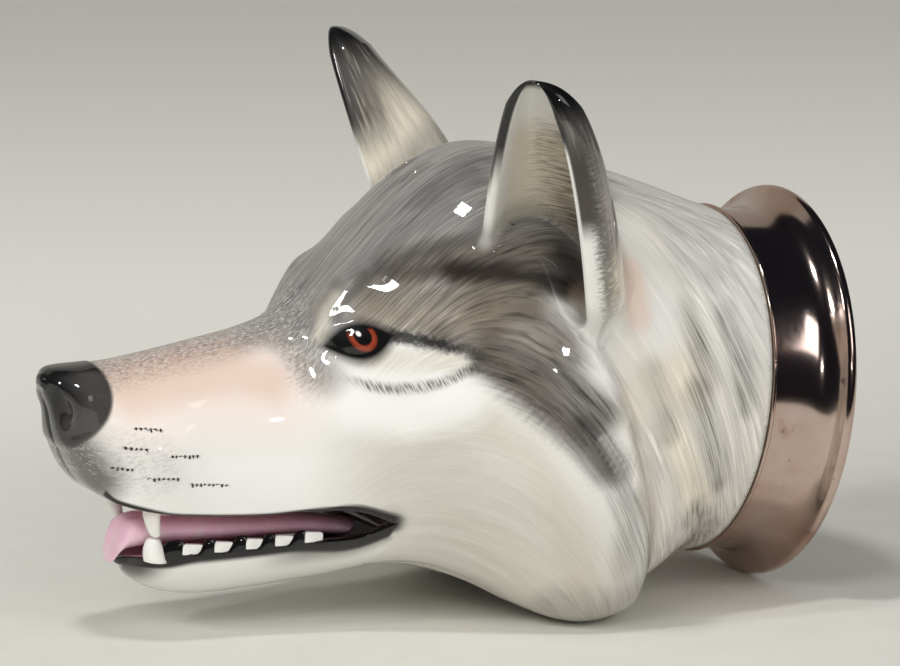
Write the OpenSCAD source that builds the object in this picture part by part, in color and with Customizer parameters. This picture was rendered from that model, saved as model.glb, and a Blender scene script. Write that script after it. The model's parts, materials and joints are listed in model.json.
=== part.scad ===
// Stirrup cup: a hollow porcelain wolf's head with a flared silver collar as its drinking rim.
// The cup lies as it does on a table, on its jowls and the collar's lip, with the nose towards -X.

/* [Head] */
// Length of the head from the collar's edge to the tip of the nose
head_len = 155.5; // [135:0.5:180]
// Height of the crown above the neck's axis
crown_h = 50; // [44:0.5:58]
// Depth of the throat below the neck's axis
throat_d = 47; // [42:0.5:52]
// Width across the cheeks, without the ruff
cheek_w = 89; // [80:0.5:100]
// How far the ruff's rear edge stands out
ruff_rise = 4.2; // [1:0.1:6]
// How far the jowls swell below the throat
jowl_rise = 7.3; // [4:0.1:9]
// Thickness of the porcelain round the bowl
wall = 5; // [3.5:0.1:7]
// Thickness of the porcelain in the muzzle
muzzle_wall = 2.6; // [2.2:0.1:4]

/* [Mouth] */
// Length of the mouth from the corner to the tip of the nose
mouth_len = 74; // [64:0.5:84]
// Height of the vault of the palate above the upper lip
vault_h = 4.5; // [2:0.1:6]
// Depth of the floor of the mouth below the lower lip
floor_d = 3; // [1.5:0.1:4]
// Thickness of the lower lip
lip_t = 1.6; // [1.2:0.1:2.4]
// Height of the lobes along the lower lip
lobe_h = 2.2; // [0:0.1:3]

/* [Ears] */
// Length of an ear from its root inside the head to its tip
ear_len = 57.5; // [46:0.5:64]
// Width of an ear across its root
ear_w = 31; // [24:0.5:36]
// Depth of the hollow of an ear
ear_cup = 11; // [6:0.5:14]
// Thickness of the ear's wall
ear_t = 2.6; // [1.8:0.1:3.6]

/* [Tongue and teeth] */
// Width of the tongue at its root
tongue_w = 20; // [14:0.5:22]
// Thickness of the tongue
tongue_t = 5; // [3.5:0.1:6]
// Length of an upper fang below the lip
upper_fang_len = 7; // [5:0.1:10]
// Length of a lower fang above the lip
lower_fang_len = 4.6; // [3:0.1:7]
// Diameter of a fang at its root
fang_d = 4.2; // [2.4:0.1:5]
// Height of the cheek teeth above the floor's shelf
cheek_tooth_h = 2.4; // [1.4:0.1:3]
// Thickness of the row of cheek teeth
cheek_tooth_t = 1.8; // [1.2:0.1:2.4]

/* [Collar] */
// Outer diameter of the drinking lip
lip_d = 88; // [82:0.5:100]
// Outer diameter of the collar at its edge on the neck
collar_d = 77.2; // [70:0.2:80]
// Length of the collar along the neck's axis
collar_len = 18.2; // [14:0.2:26]
// Thickness of the silver
silver_t = 1.5; // [1:0.1:2]
// Diameter of the roll along the lip
roll_d = 2.6; // [2:0.1:4]
// Depth of the flat land worn on the roll, on which the cup can stand
lip_land = 0.25; // [0.1:0.05:0.5]
// Thickness of the cement between the neck and the collar
cement_t = 0.8; // [0.4:0.1:1.5]
// Width of the cement line seen at the seam
seam_w = 0.4; // [0.2:0.1:0.8]
// How far the neck's end stays back from the lip
neck_back = 6; // [4:0.5:9]

/* [Hidden] */

// The head's own frame: distance from the lip's plane towards the nose, side, height above the axis.
// A form's table gives each station as shares of the driving sizes.
neck_at = collar_len + seam_w;
mouth_at = neck_at + head_len - mouth_len;
function skull(f) = neck_at + f * (mouth_at - neck_at);
function muzzle(f) = mouth_at + f * mouth_len;
function up(f) = f * crown_h;
function down(f) = -f * throat_d;
function wide(f) = f * cheek_w / 2;

// Smooth curve through rows of numbers, at a place counted in rows
function spline(p0, p1, p2, p3, f) =
    (2 * p1 + (p2 - p0) * f + (2 * p0 - 5 * p1 + 4 * p2 - p3) * f * f
     + (3 * p1 - p0 - 3 * p2 + p3) * f * f * f) / 2;
function row_at(rows, u) =
    let (last = len(rows) - 1,
         i = min(floor(u), last - 1),
         p1 = rows[i],
         p2 = rows[i + 1],
         p0 = i > 0 ? rows[i - 1] : 2 * p1 - p2,
         p3 = i + 2 <= last ? rows[i + 2] : 2 * p2 - p1)
    spline(p0, p1, p2, p3, u - i);
function ease(x) = let (t = max(0, min(1, x))) t * t * (3 - 2 * t);
function bell(x, r) = exp(-pow(x / r, 2));

// Stations of the head: place, top, underside, half width, widest height,
// fullness above and below, and the line of the lips, which runs on along the cheek
neck_r = collar_d / 2;
head_rows = [
    [skull(0), neck_r, -neck_r, neck_r, 0, 2, 2, down(0.42)],
    [skull(0.09), up(0.81), down(0.85), wide(0.9), down(0.02), 2, 2, down(0.45)],
    [skull(0.21), up(0.866), down(0.935), wide(0.945), down(0.085), 2, 2.3, down(0.49)],
    [skull(0.34), up(0.92), down(1), wide(0.98), down(0.17), 2, 2.6, down(0.53)],
    [skull(0.485), up(0.972), down(1.01), wide(1), down(0.255), 2, 2.9, down(0.57)],
    [skull(0.63), up(1.006), down(0.98), wide(0.98), down(0.277), 2.05, 2.8, down(0.615)],
    [skull(0.755), up(1.004), down(0.935), wide(0.91), down(0.3), 2.05, 2.5, down(0.635)],
    [skull(0.88), up(0.91), down(0.915), wide(0.81), down(0.32), 2.1, 2.2, down(0.635)],
    [muzzle(0), up(0.73), down(0.94), wide(0.7), down(0.34), 2.1, 2.1, down(0.63)],
    [muzzle(0.11), up(0.53), down(0.99), wide(0.607), down(0.34), 2.1, 2.1, down(0.6)],
    [muzzle(0.19), up(0.36), down(1.04), wide(0.55), down(0.34), 2.1, 2.1, down(0.61)],
    [muzzle(0.27), up(0.226), down(1.085), wide(0.505), down(0.36), 2.1, 2.1, down(0.624)],
    [muzzle(0.38), up(0.148), down(1.13), wide(0.46), down(0.383), 2.1, 2.1, down(0.65)],
    [muzzle(0.515), up(0.088), down(1.15), wide(0.416), down(0.405), 2.1, 2.1, down(0.666)],
    [muzzle(0.65), up(0.032), down(1.15), wide(0.382), down(0.425), 2.1, 2.1, down(0.664)],
    [muzzle(0.757), up(-0.008), down(1.065), wide(0.333), down(0.425), 2.1, 2.1, down(0.643)],
    [muzzle(0.825), up(-0.028), down(0.915), wide(0.283), down(0.383), 2.2, 2.1, down(0.61)],
    [muzzle(0.886), up(-0.044), down(0.72), wide(0.252), down(0.3), 2.4, 2.1, down(0.53)],
    [muzzle(0.936), up(-0.054), down(0.53), wide(0.205), down(0.215), 2.4, 2.1, down(0.395)],
    [muzzle(0.97), up(-0.066), down(0.33), wide(0.14), down(0.16), 2.3, 2, down(0.245)],
    [muzzle(0.99), up(-0.09), down(0.17), wide(0.05), down(0.13), 2, 2, down(0.15)]
];
corner_row = 8;
head_end = len(head_rows) - 1;

// Swellings and hollows: place, side, height, their three radii and how far they rise
swellings = [
    [muzzle(0.165), wide(0.29), up(0.32), wide(0.18), wide(0.157), wide(0.157), up(0.064)],
    [muzzle(0.055), wide(0.45), up(0.28), wide(0.18), wide(0.18), wide(0.135), up(0.04)],
    [muzzle(0.24), wide(0.36), up(0.08), wide(0.135), wide(0.157), wide(0.135), up(-0.04)],
    [muzzle(0.15), wide(0.54), up(0.16), wide(0.157), wide(0.2), wide(0.112), up(-0.05)],
    [muzzle(0.15), wide(0.506), up(0.17), wide(0.112), wide(0.18), wide(0.094), up(0.068)],
    [skull(0.95), wide(0.74), down(0.085), wide(0.315), wide(0.27), wide(0.225), up(0.05)],
    [skull(0.5), wide(0.764), down(0.96), wide(0.45), wide(0.337), wide(0.315), jowl_rise],
    [muzzle(0.7), wide(0.337), down(0.47), wide(0.2), wide(0.18), wide(0.18), up(0.032)],
    [skull(0.695), wide(0.81), up(0.56), wide(0.29), wide(0.29), wide(0.29), up(0.07)],
    [muzzle(0.905), wide(0.225), down(0.17), wide(0.09), wide(0.09), wide(0.09), up(0.024)],
    [muzzle(0.945), wide(0.157), down(0.25), wide(0.058), wide(0.058), wide(0.067), up(-0.048)],
    [skull(0.854), 0, up(0.94), wide(0.315), wide(0.112), wide(0.18), up(-0.024)]
];
// Place of the ruff's rear edge at a height, how far its rise runs out forwards, and its drop behind
ruff_run = 26;
ruff_drop = 6;
ruff_mid_h = down(0.53);
function ruff_edge(h) = skull(0.39) + 0.3 * (h - ruff_mid_h) + 0.2 * pow(h - ruff_mid_h, 2) / crown_h;
function ruff(s, y, h) =
    let (d = s - ruff_edge(h),
         rise = d > 0 ? exp(-d / ruff_run) : 1 - ease(-d / ruff_drop),
         span = ease((h - down(1.1)) / up(0.28)) * ease((up(0.52) - h) / up(0.44)))
    ruff_rise * rise * span * ease((y - wide(0.225)) / wide(0.337));
function swell(s, y, h) =
    ruff(s, y, h) + [for (b = swellings)
        b[6] * bell(s - b[0], b[3]) * bell(y - b[1], b[4]) * bell(h - b[2], b[5])]
        * [for (b = swellings) 1];

// One point of a station, at an angle from the crown, before and after the swellings
function bare_point(r, a) =
    let (above = cos(a) >= 0,
         n = above ? r[5] : r[6],
         reach = above ? r[1] - r[4] : r[4] - r[2])
    [r[3] * pow(abs(sin(a)), 2 / n), r[4] + reach * sign(cos(a)) * pow(abs(cos(a)), 2 / n)];
function full_point(r, a) =
    let (q = bare_point(r, a),
         from_mid = [q[0], q[1] - r[4]],
         far = max(norm(from_mid), 0.001),
         d = swell(r[0], q[0], q[1]))
    q + from_mid * d / far;
function lip_angle(r) = 180 - acos(pow(max(0, min(1, (r[4] - r[7]) / (r[4] - r[2]))), r[6] / 2));

// Half stations run from the crown down the side to the middle of the underside
side_steps = 17;
under_steps = 9;
// The vault of the palate rises behind the upper lip and runs out towards the nose
vault_round = 3.5;
vault_full = muzzle(0.66);
vault_out = muzzle(0.78);
function vault_at(s) = vault_h * (1 - ease((s - vault_full) / (vault_out - vault_full)));
function palate(s, edge, v) =
    let (inward = edge[0] * v)
    [edge[0] - inward, edge[1] + vault_at(s) * ease((inward - lip_t) / vault_round)];
function half_station(r, mouth_open) =
    let (a_lip = lip_angle(r),
         edge = full_point(r, a_lip))
    concat([for (i = [0 : side_steps]) full_point(r, a_lip * i / side_steps)],
           [for (i = [1 : under_steps]) mouth_open
               ? palate(r[0], edge, i / under_steps)
               : full_point(r, a_lip + (180 - a_lip) * i / under_steps)]);
// A whole ring of points, from the crown round the left side and back up the right one
function ring(s, half) =
    concat([for (p = half) [-s, -p[0], p[1]]],
           [for (i = [len(half) - 2 : -1 : 1]) [-s, half[i][0], half[i][1]]]);
function round_half(r, count) =
    [for (i = [0 : count]) [r * sin(180 * i / count), r * cos(180 * i / count)]];

// Outside of the head, closed behind the mouth and open in front of its corners
row_steps = 2;
function stations(first, last) = [for (i = [0 : (last - first) * row_steps]) first + i / row_steps];
outer_rings = concat(
    [for (u = stations(0, corner_row))
        let (r = row_at(head_rows, u)) ring(r[0], half_station(r, false))],
    [for (u = stations(corner_row, head_end))
        let (r = row_at(head_rows, u)) ring(r[0], half_station(r, true))]);

// Inside of the bowl: the stations drawn in by the wall, over the palate in front of the mouth's corner
bowl_end = muzzle(0.93);
bowl_round = 20;
bowl_steps = 18;
half_count = side_steps + under_steps;
spigot_r = neck_r - silver_t - cement_t;
spigot_at = neck_back;
// The station at a place, found by halving the span that holds it
function row_place(s, low = 0, high = head_end, halvings = 12) =
    let (mid = (low + high) / 2)
    halvings == 0 ? mid
        : row_at(head_rows, mid)[0] > s ? row_place(s, low, mid, halvings - 1)
        : row_place(s, mid, high, halvings - 1);
function station(s) = row_at(head_rows, row_place(s));
thick_to = skull(0.45);
thin_from = skull(0.85);
function wall_at(s) = wall + (muzzle_wall - wall) * ease((s - thick_to) / (thin_from - thick_to));
// Where the head tapers, the wall is kept by taking the narrowest of the stations about the place
bowl_reach = 1.8;
bowl_follow = 0.8;
function bowl_row(s) =
    let (t = wall_at(s),
         near = [for (d = [-1 : 0.5 : 1]) station(max(neck_at, s + d * bowl_reach * t))],
         r = station(s),
         top = min([for (n = near) n[1]]) - t,
         half_w = min([for (n = near) n[3]]) - t,
         behind = 1 - ease((s - mouth_at + 5 * t) / (3 * t)),
         floor_h = max([for (n = near) n[7]]) + vault_at(s) + t,
         low = behind * (max([for (n = near) n[2]]) + t) + (1 - behind) * floor_h,
         close = sqrt(max(0.0004, 1 - pow(max(0, s - bowl_end + bowl_round) / bowl_round, 2))),
         mid = (top + low) / 2)
    [s, mid + (top - mid) * close, mid + (low - mid) * close, half_w * close, mid, r[5], r[6]];
function bowl_point(r, a) =
    let (q = bare_point(r, a),
         from_mid = [q[0], q[1] - r[4]],
         outward = from_mid / max(norm(from_mid), 0.001),
         skin_q = q + outward * wall_at(r[0]),
         d = swell(r[0], skin_q[0], skin_q[1]),
         follow = d < 0 ? 1 : bowl_follow * (1 - ease((r[0] - thin_from) / (mouth_at - thin_from))))
    q + outward * d * follow;
bowl_rings = [for (i = [0 : bowl_steps])
    let (t = sin(90 * i / bowl_steps),
         s = neck_at + (bowl_end - neck_at) * t,
         r = bowl_row(s))
    ring(s, [for (k = [0 : half_count]) bowl_point(r, 180 * k / half_count)])];
bore_r = spigot_r - wall;
neck_rings = [
    ring(spigot_at, round_half(bore_r, half_count)),
    ring(spigot_at, round_half(spigot_r, half_count)),
    ring(neck_at, round_half(spigot_r, half_count))
];

// A skin of triangles over a row of rings, closed at both ends; where two rings share points
// the flat triangles between them are left out
function middle(points) = [for (p = points) 1] * points / len(points);
function skin_points(rings) =
    concat([for (r = rings, p = r) p], [middle(rings[0]), middle(rings[len(rings) - 1])]);
function skin_faces(m, n) = [
    for (j = [0 : n - 1])
        let (k = (j + 1) % n)
        each [[m * n, k, j], [m * n + 1, (m - 1) * n + j, (m - 1) * n + k]],
    for (i = [0 : m - 2], j = [0 : n - 1])
        let (k = (j + 1) % n)
        each [[i * n + j, i * n + k, (i + 1) * n + k], [i * n + j, (i + 1) * n + k, (i + 1) * n + j]]
];
function has_area(points, f) =
    norm(cross(points[f[1]] - points[f[0]], points[f[2]] - points[f[0]])) > 0.000001;
module skin(rings) {
    points = skin_points(rings);
    faces = [for (f = skin_faces(len(rings), len(rings[0]))) if (has_area(points, f)) f];
    polyhedron(points, faces, convexity = 10);
}
function backwards(list) = [for (i = [len(list) - 1 : -1 : 0]) list[i]];

// Lower jaw stations: place, half width, widest height, underside, fullness and lip height
corner = head_rows[corner_row];
jaw_rows = [
    [corner[0], corner[3], corner[4], corner[2], corner[6], corner[7]],
    [muzzle(0.08), wide(0.595), down(0.383), down(0.98), 2.1, down(0.724)],
    [muzzle(0.19), wide(0.505), down(0.425), down(1.017), 2.1, down(0.766)],
    [muzzle(0.325), wide(0.427), down(0.49), down(1.055), 2.2, down(0.81)],
    [muzzle(0.46), wide(0.36), down(0.553), down(1.083), 2.3, down(0.847)],
    [muzzle(0.57), wide(0.315), down(0.617), down(1.077), 2.4, down(0.872)],
    [muzzle(0.635), wide(0.275), down(0.66), down(1.05), 2.4, down(0.89)],
    [muzzle(0.676), wide(0.22), down(0.723), down(1.013), 2.3, down(0.902)],
    [muzzle(0.697), wide(0.112), down(0.81), down(0.966), 2.1, down(0.92)]
];
jaw_end = len(jaw_rows) - 1;
jaw_steps = 5;
jaw_side_steps = 8;
jaw_floor_steps = 7;
// The lower lip's crest rounds over, and carries a row of lobes between the first and the last
crest_in = 0.7;
crest_out = 0.3;
crest_h = 0.1;
tooth_shelf = 3;
lobe_count = 5;
lobe_from = muzzle(0.235);
lobe_to = muzzle(0.593);
lobe_gap = (lobe_to - lobe_from) / (lobe_count - 1);
function lobe(s) =
    let (x = (s - lobe_from) / lobe_gap,
         near = max(0, min(lobe_count - 1, round(x))))
    lobe_h * bell(x - near, 0.3);
function jaw_row(u) = row_at(jaw_rows, u);
function as_station(r) = [r[0], 0, r[3], r[1], r[2], 2, r[4], r[5]];
function jaw_half(r) =
    let (st = as_station(r),
         a_lip = lip_angle(st),
         edge = full_point(st, a_lip),
         lip = min(lip_t, edge[0] / 4),
         inside = edge[0] - lip,
         dip = floor_d * min(1, edge[0] / 12))
    concat([for (i = [0 : jaw_floor_steps])
               let (y = inside * i / jaw_floor_steps)
               [y, edge[1] - dip * ease((inside - y - cheek_tooth_t) / tooth_shelf)]],
           [[edge[0] - lip * crest_in, edge[1] + lobe(r[0]) * 0.85 + crest_h / 2]],
           [[edge[0] - lip * crest_out, edge[1] + lobe(r[0]) + crest_h]],
           [for (i = [0 : jaw_side_steps])
               full_point(st, a_lip + (180 - a_lip) * i / jaw_side_steps)]);
jaw_rings = [for (i = [0 : jaw_end * jaw_steps])
    let (r = jaw_row(i / jaw_steps)) ring(r[0], jaw_half(r))];

// Rest: the cup lies on the jowls and on the roll of the lip
roll_r = roll_d / 2;
lip_r = lip_d / 2 - roll_r;
lip_at = roll_r;
function touch_angle(p) =
    let (ds = -p[0] - lip_at,
         dh = -lip_r - p[2])
    ds < collar_len ? -90 : atan2(dh, ds) - asin(roll_r / norm([ds, dh]));
rest_angle = max([for (r = outer_rings, p = r) touch_angle(p)]);
lift = roll_r + lip_r * cos(rest_angle) - lip_at * sin(rest_angle);
nose_ring = outer_rings[len(outer_rings) - 1];
nose_x = min([for (p = nose_ring) p[0] * cos(rest_angle) + p[2] * sin(rest_angle)]);
land_half = sqrt(pow(roll_r, 2) - pow(roll_r - lip_land, 2));
lip_x = (lip_r + land_half) * sin(rest_angle) - lip_land * cos(rest_angle);
module at_rest() {
    translate([-(nose_x + lip_x) / 2, 0, lift]) rotate([0, rest_angle, 0]) children();
}
// A small piece that is moulded with a spare root and trimmed to the surface that carries it
module trimmed() {
    resize([0, 0, 0]) difference() {
        children(0);
        children([1 : $children - 1]);
    }
}
module head_form() { skin(concat(backwards(neck_rings), outer_rings)); }
module jaw_form() { skin(jaw_rings); }

module head_shell() {
    color("gainsboro") at_rest()
        skin(concat(backwards(bowl_rings), neck_rings, outer_rings));
}
module lower_jaw() { color("ivory") at_rest() jaw_form(); }

// Ears: a cupped blade along a spine that leans outwards and forwards
ear_root = [skull(0.65), wide(0.7), up(0.38)];
ear_lean = [19, 21, 50];
ear_across = [-28, 13, -14];
// Ear stations: share of the length, of the half width towards the crown and away from it, of the hollow
ear_rows = [[0, 0.95, 1, 1], [0.25, 0.82, 0.98, 0.92], [0.5, 0.6, 0.9, 0.72], [0.75, 0.34, 0.7, 0.42],
            [0.9, 0.18, 0.44, 0.2], [0.97, 0.09, 0.22, 0.08], [1, 0.03, 0.05, 0.02]];
// Section of an ear, from the rim towards the crown to the rim that rolls in at the other side:
// shares of the half width and of the hollow
ear_section = [[-1, 0], [-0.8, 0.6], [-0.4, 0.95], [0, 1], [0.4, 0.82], [0.75, 0.5], [0.95, 0.1],
               [0.95, -0.3], [0.75, -0.55]];
ear_steps = 2;
ear_round_steps = 2;
function unit(v) = v / norm(v);
ear_axis = unit(ear_lean);
ear_side = unit(ear_across - ear_axis * (ear_across * ear_axis));
ear_face = cross(ear_side, ear_axis);
ear_bow = [0.5, 1.5, 0];
ear_thin_w = 12;
ear_slope_step = 0.1;
function ear_curve(r, u) =
    let (q = row_at(ear_section, max(0, min(len(ear_section) - 1, u))))
    [q[0] * (q[0] > 0 ? r[2] : r[1]) * ear_w / 2, q[1] * r[3] * ear_cup];
function ear_point(r, u, off) =
    let (spine = ear_root + ear_axis * ear_len * r[0] + ear_bow * pow(r[0], 2),
         q = ear_curve(r, u),
         along = unit(ear_curve(r, u + ear_slope_step) - ear_curve(r, u - ear_slope_step)),
         t = off * ear_t * min(1, (r[1] + r[2]) / 2 * ear_w / ear_thin_w))
    spine + ear_side * (q[0] - t * along[1]) - ear_face * (q[1] + t * along[0]);
function ear_ring(r, hand) =
    let (n = (len(ear_section) - 1) * ear_round_steps,
         inner = [for (i = [0 : n]) ear_point(r, i / ear_round_steps, 0)],
         outer = [for (i = [n : -1 : 0]) ear_point(r, i / ear_round_steps, 1)])
    [for (p = concat(inner, outer)) [-p[0], hand * p[1], p[2]]];
module ear(hand) {
    rings = [for (i = [0 : (len(ear_rows) - 1) * ear_steps])
        ear_ring(row_at(ear_rows, i / ear_steps), hand)];
    trimmed() {
        skin(hand > 0 ? rings : backwards(rings));
        head_form();
    }
}
module left_ear() { color("dimgray") at_rest() ear(-1); }
module right_ear() { color("dimgray") at_rest() ear(1); }

// Tongue stations: place, half width, height of the upper side and sag of the thickness
tongue_back = 0.3;
tongue_rows = [
    [muzzle(0) + tongue_back, 0.9, down(0.68), 1],
    [muzzle(0.16), 1, down(0.69), 1.1],
    [muzzle(0.33), 0.98, down(0.71), 1.2],
    [muzzle(0.49), 0.9, down(0.727), 1.3],
    [muzzle(0.61), 0.8, down(0.735), 1.4],
    [muzzle(0.665), 0.74, down(0.745), 1.4],
    [muzzle(0.702), 0.66, down(0.78), 1.3],
    [muzzle(0.724), 0.52, down(0.83), 1],
    [muzzle(0.735), 0.34, down(0.875), 0.6],
    [muzzle(0.74), 0.16, down(0.905), 0.3]
];
tongue_crease = 0.25;
tongue_steps = 2;
tongue_round_steps = 16;
function tongue_ring(r) =
    [for (i = [0 : tongue_round_steps - 1])
        let (a = 360 * i / tongue_round_steps,
             half_t = r[3] * tongue_t / 2)
        [-r[0], -sin(a) * r[1] * tongue_w / 2,
         r[2] - half_t + cos(a) * half_t * (cos(a) > 0 ? 1 - tongue_crease * pow(cos(a), 6) : 1)]];
module tongue() {
    color("pink") at_rest() trimmed() {
        skin([for (i = [0 : (len(tongue_rows) - 1) * tongue_steps])
            tongue_ring(row_at(tongue_rows, i / tongue_steps))]);
        jaw_form();
        head_form();
        lower_fang_form(-1);
        lower_fang_form(1);
    }
}

// Fangs: tapered, with a spare root that is trimmed off
fang_root = 3;
fang_tip_d = 1.5;
module fang(len) {
    rotate_extrude($fn = 18) polygon([
        [0, -fang_root], [fang_d / 2, -fang_root], [fang_d / 2, 0], [fang_d * 0.45, len * 0.45],
        [fang_d * 0.35, len * 0.8], [fang_tip_d / 2, len * 0.97], [0, len]]);
}
upper_fang_at = [muzzle(0.67), wide(0.26), down(0.645)];
lower_fang_at = [muzzle(0.645), wide(0.2), down(0.89)];
module upper_fang(hand) {
    trimmed() {
        translate([-upper_fang_at[0], hand * upper_fang_at[1], upper_fang_at[2]]) rotate([180, 0, 0])
            fang(upper_fang_len);
        head_form();
    }
}
module lower_fang_form(hand) {
    translate([-lower_fang_at[0], hand * lower_fang_at[1], lower_fang_at[2]]) fang(lower_fang_len);
}
module lower_fang(hand) {
    trimmed() {
        lower_fang_form(hand);
        jaw_form();
    }
}
module upper_left_fang() { color("white") at_rest() upper_fang(-1); }
module upper_right_fang() { color("white") at_rest() upper_fang(1); }
module lower_left_fang() { color("white") at_rest() lower_fang(-1); }
module lower_right_fang() { color("white") at_rest() lower_fang(1); }

// Cheek teeth: one moulded row a side, standing on the shelf behind the lip
teeth_from = muzzle(0.165);
teeth_to = muzzle(0.6);
teeth_steps = 30;
teeth_root = 0.8;
tooth_edge = 0.3;
tooth_gap_share = 0.45;
function jaw_u(s, u = 0) = u >= jaw_end || jaw_row(u + 0.05)[0] > s ? u : jaw_u(s, u + 0.05);
function tooth_top(s) =
    let (x = (s - lobe_from) / lobe_gap + 0.5)
    cheek_tooth_h * (tooth_gap_share + (1 - tooth_gap_share) * pow(abs(sin(180 * x)), 0.6));
function teeth_ring(s, hand) =
    let (r = jaw_row(jaw_u(s)),
         half = jaw_half(r),
         edge = half[jaw_floor_steps],
         y0 = edge[0] - cheek_tooth_t,
         y1 = edge[0],
         low = edge[1] - teeth_root,
         high = edge[1] + tooth_top(s))
    [[-s, hand * y0, low], [-s, hand * y0, high - tooth_edge], [-s, hand * (y0 + tooth_edge), high],
     [-s, hand * (y1 - tooth_edge), high], [-s, hand * y1, high - tooth_edge], [-s, hand * y1, low]];
module cheek_teeth(hand) {
    rings = [for (i = [0 : teeth_steps])
        teeth_ring(teeth_from + (teeth_to - teeth_from) * i / teeth_steps, hand)];
    trimmed() {
        skin(hand < 0 ? rings : backwards(rings));
        jaw_form();
    }
}
module left_cheek_teeth() { color("white") at_rest() cheek_teeth(-1); }
module right_cheek_teeth() { color("white") at_rest() cheek_teeth(1); }

// Collar: a spun flare with a rolled lip, turned about the neck's axis
module turned(points) {
    rotate([0, -90, 0]) rotate_extrude($fn = 96) polygon(points);
}
waist_in = 0.6;
waist_r = collar_d / 2 - waist_in;
flare_share = 0.6;
flare_steps = 10;
function flare(t) = lip_r - (lip_r - waist_r) * pow(sin(90 * t), 0.75);
collar_out = concat(
    [for (i = [0 : flare_steps])
        let (t = i / flare_steps) [flare(t) + silver_t / 2, lip_at + t * collar_len * flare_share]],
    [[collar_d / 2, collar_len]]);
collar_in = [for (p = backwards(collar_out)) [p[0] - silver_t, p[1]]];
module lip_roll() {
    difference() {
        translate([lip_r, lip_at]) circle(d = roll_d, $fn = 24);
        translate([lip_r - roll_d, -roll_d]) square([2 * roll_d, roll_d + lip_land]);
    }
}
module silver_collar() {
    color("rosybrown") at_rest() {
        turned(concat(collar_out, collar_in));
        rotate([0, -90, 0]) rotate_extrude($fn = 96) lip_roll();
    }
}
// Bedding: the cement sleeve between spigot and collar, with the thin line seen at the seam
seam_inset = 0.2;
module bedding_ring() {
    color("antiquewhite") at_rest() turned([
        [spigot_r, spigot_at], [spigot_r + cement_t, spigot_at],
        [neck_r - silver_t, collar_len], [neck_r - seam_inset, collar_len],
        [neck_r - seam_inset, neck_at], [spigot_r, neck_at]]);
}

head_shell();
lower_jaw();
left_ear();
right_ear();
tongue();
upper_left_fang();
upper_right_fang();
lower_left_fang();
lower_right_fang();
left_cheek_teeth();
right_cheek_teeth();
bedding_ring();
silver_collar();
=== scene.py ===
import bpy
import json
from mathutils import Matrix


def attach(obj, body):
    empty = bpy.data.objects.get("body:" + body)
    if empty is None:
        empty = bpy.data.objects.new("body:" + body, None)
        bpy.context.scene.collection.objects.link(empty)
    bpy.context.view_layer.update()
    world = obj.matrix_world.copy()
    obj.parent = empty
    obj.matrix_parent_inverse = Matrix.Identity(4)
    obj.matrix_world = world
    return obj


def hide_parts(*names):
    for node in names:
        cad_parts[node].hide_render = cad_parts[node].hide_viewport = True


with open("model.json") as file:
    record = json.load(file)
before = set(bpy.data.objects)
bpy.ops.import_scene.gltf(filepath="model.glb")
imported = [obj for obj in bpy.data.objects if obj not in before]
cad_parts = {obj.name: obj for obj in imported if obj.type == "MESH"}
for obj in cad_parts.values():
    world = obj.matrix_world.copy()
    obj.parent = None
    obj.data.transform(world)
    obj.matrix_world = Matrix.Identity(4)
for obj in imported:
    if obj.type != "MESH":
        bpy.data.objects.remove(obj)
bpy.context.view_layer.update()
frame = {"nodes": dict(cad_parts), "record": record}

import json
import math
from types import SimpleNamespace

import bpy
import numpy as np
from bpy.props import FloatProperty, FloatVectorProperty, PointerProperty
from mathutils import Vector
from mathutils.bvhtree import BVHTree
from mathutils.kdtree import KDTree

bl_info = {
    "name": "Wolf Head Stirrup Cup",
    "version": (1, 0, 0),
    "blender": (4, 5, 0),
    "location": "View3D > Sidebar > Stirrup Cup",
    "description": "Models and paints a porcelain wolf's head cup with a silver collar",
    "category": "Add Mesh",
}

MM = 0.001
ROOT = "root"


# Sizes and colours that a user would change
def length(name, description, millimetres):
    """A length property whose default is given in millimetres."""
    return FloatProperty(name=name, description=description, default=millimetres * MM,
                         min=0.0, unit="LENGTH", subtype="DISTANCE", precision=4)


def colour(name, description, red, green, blue):
    """A colour property, written as it looks on a screen."""
    return FloatVectorProperty(name=name, description=description, size=3, min=0.0, max=1.0,
                               subtype="COLOR_GAMMA", default=(red, green, blue))


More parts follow.
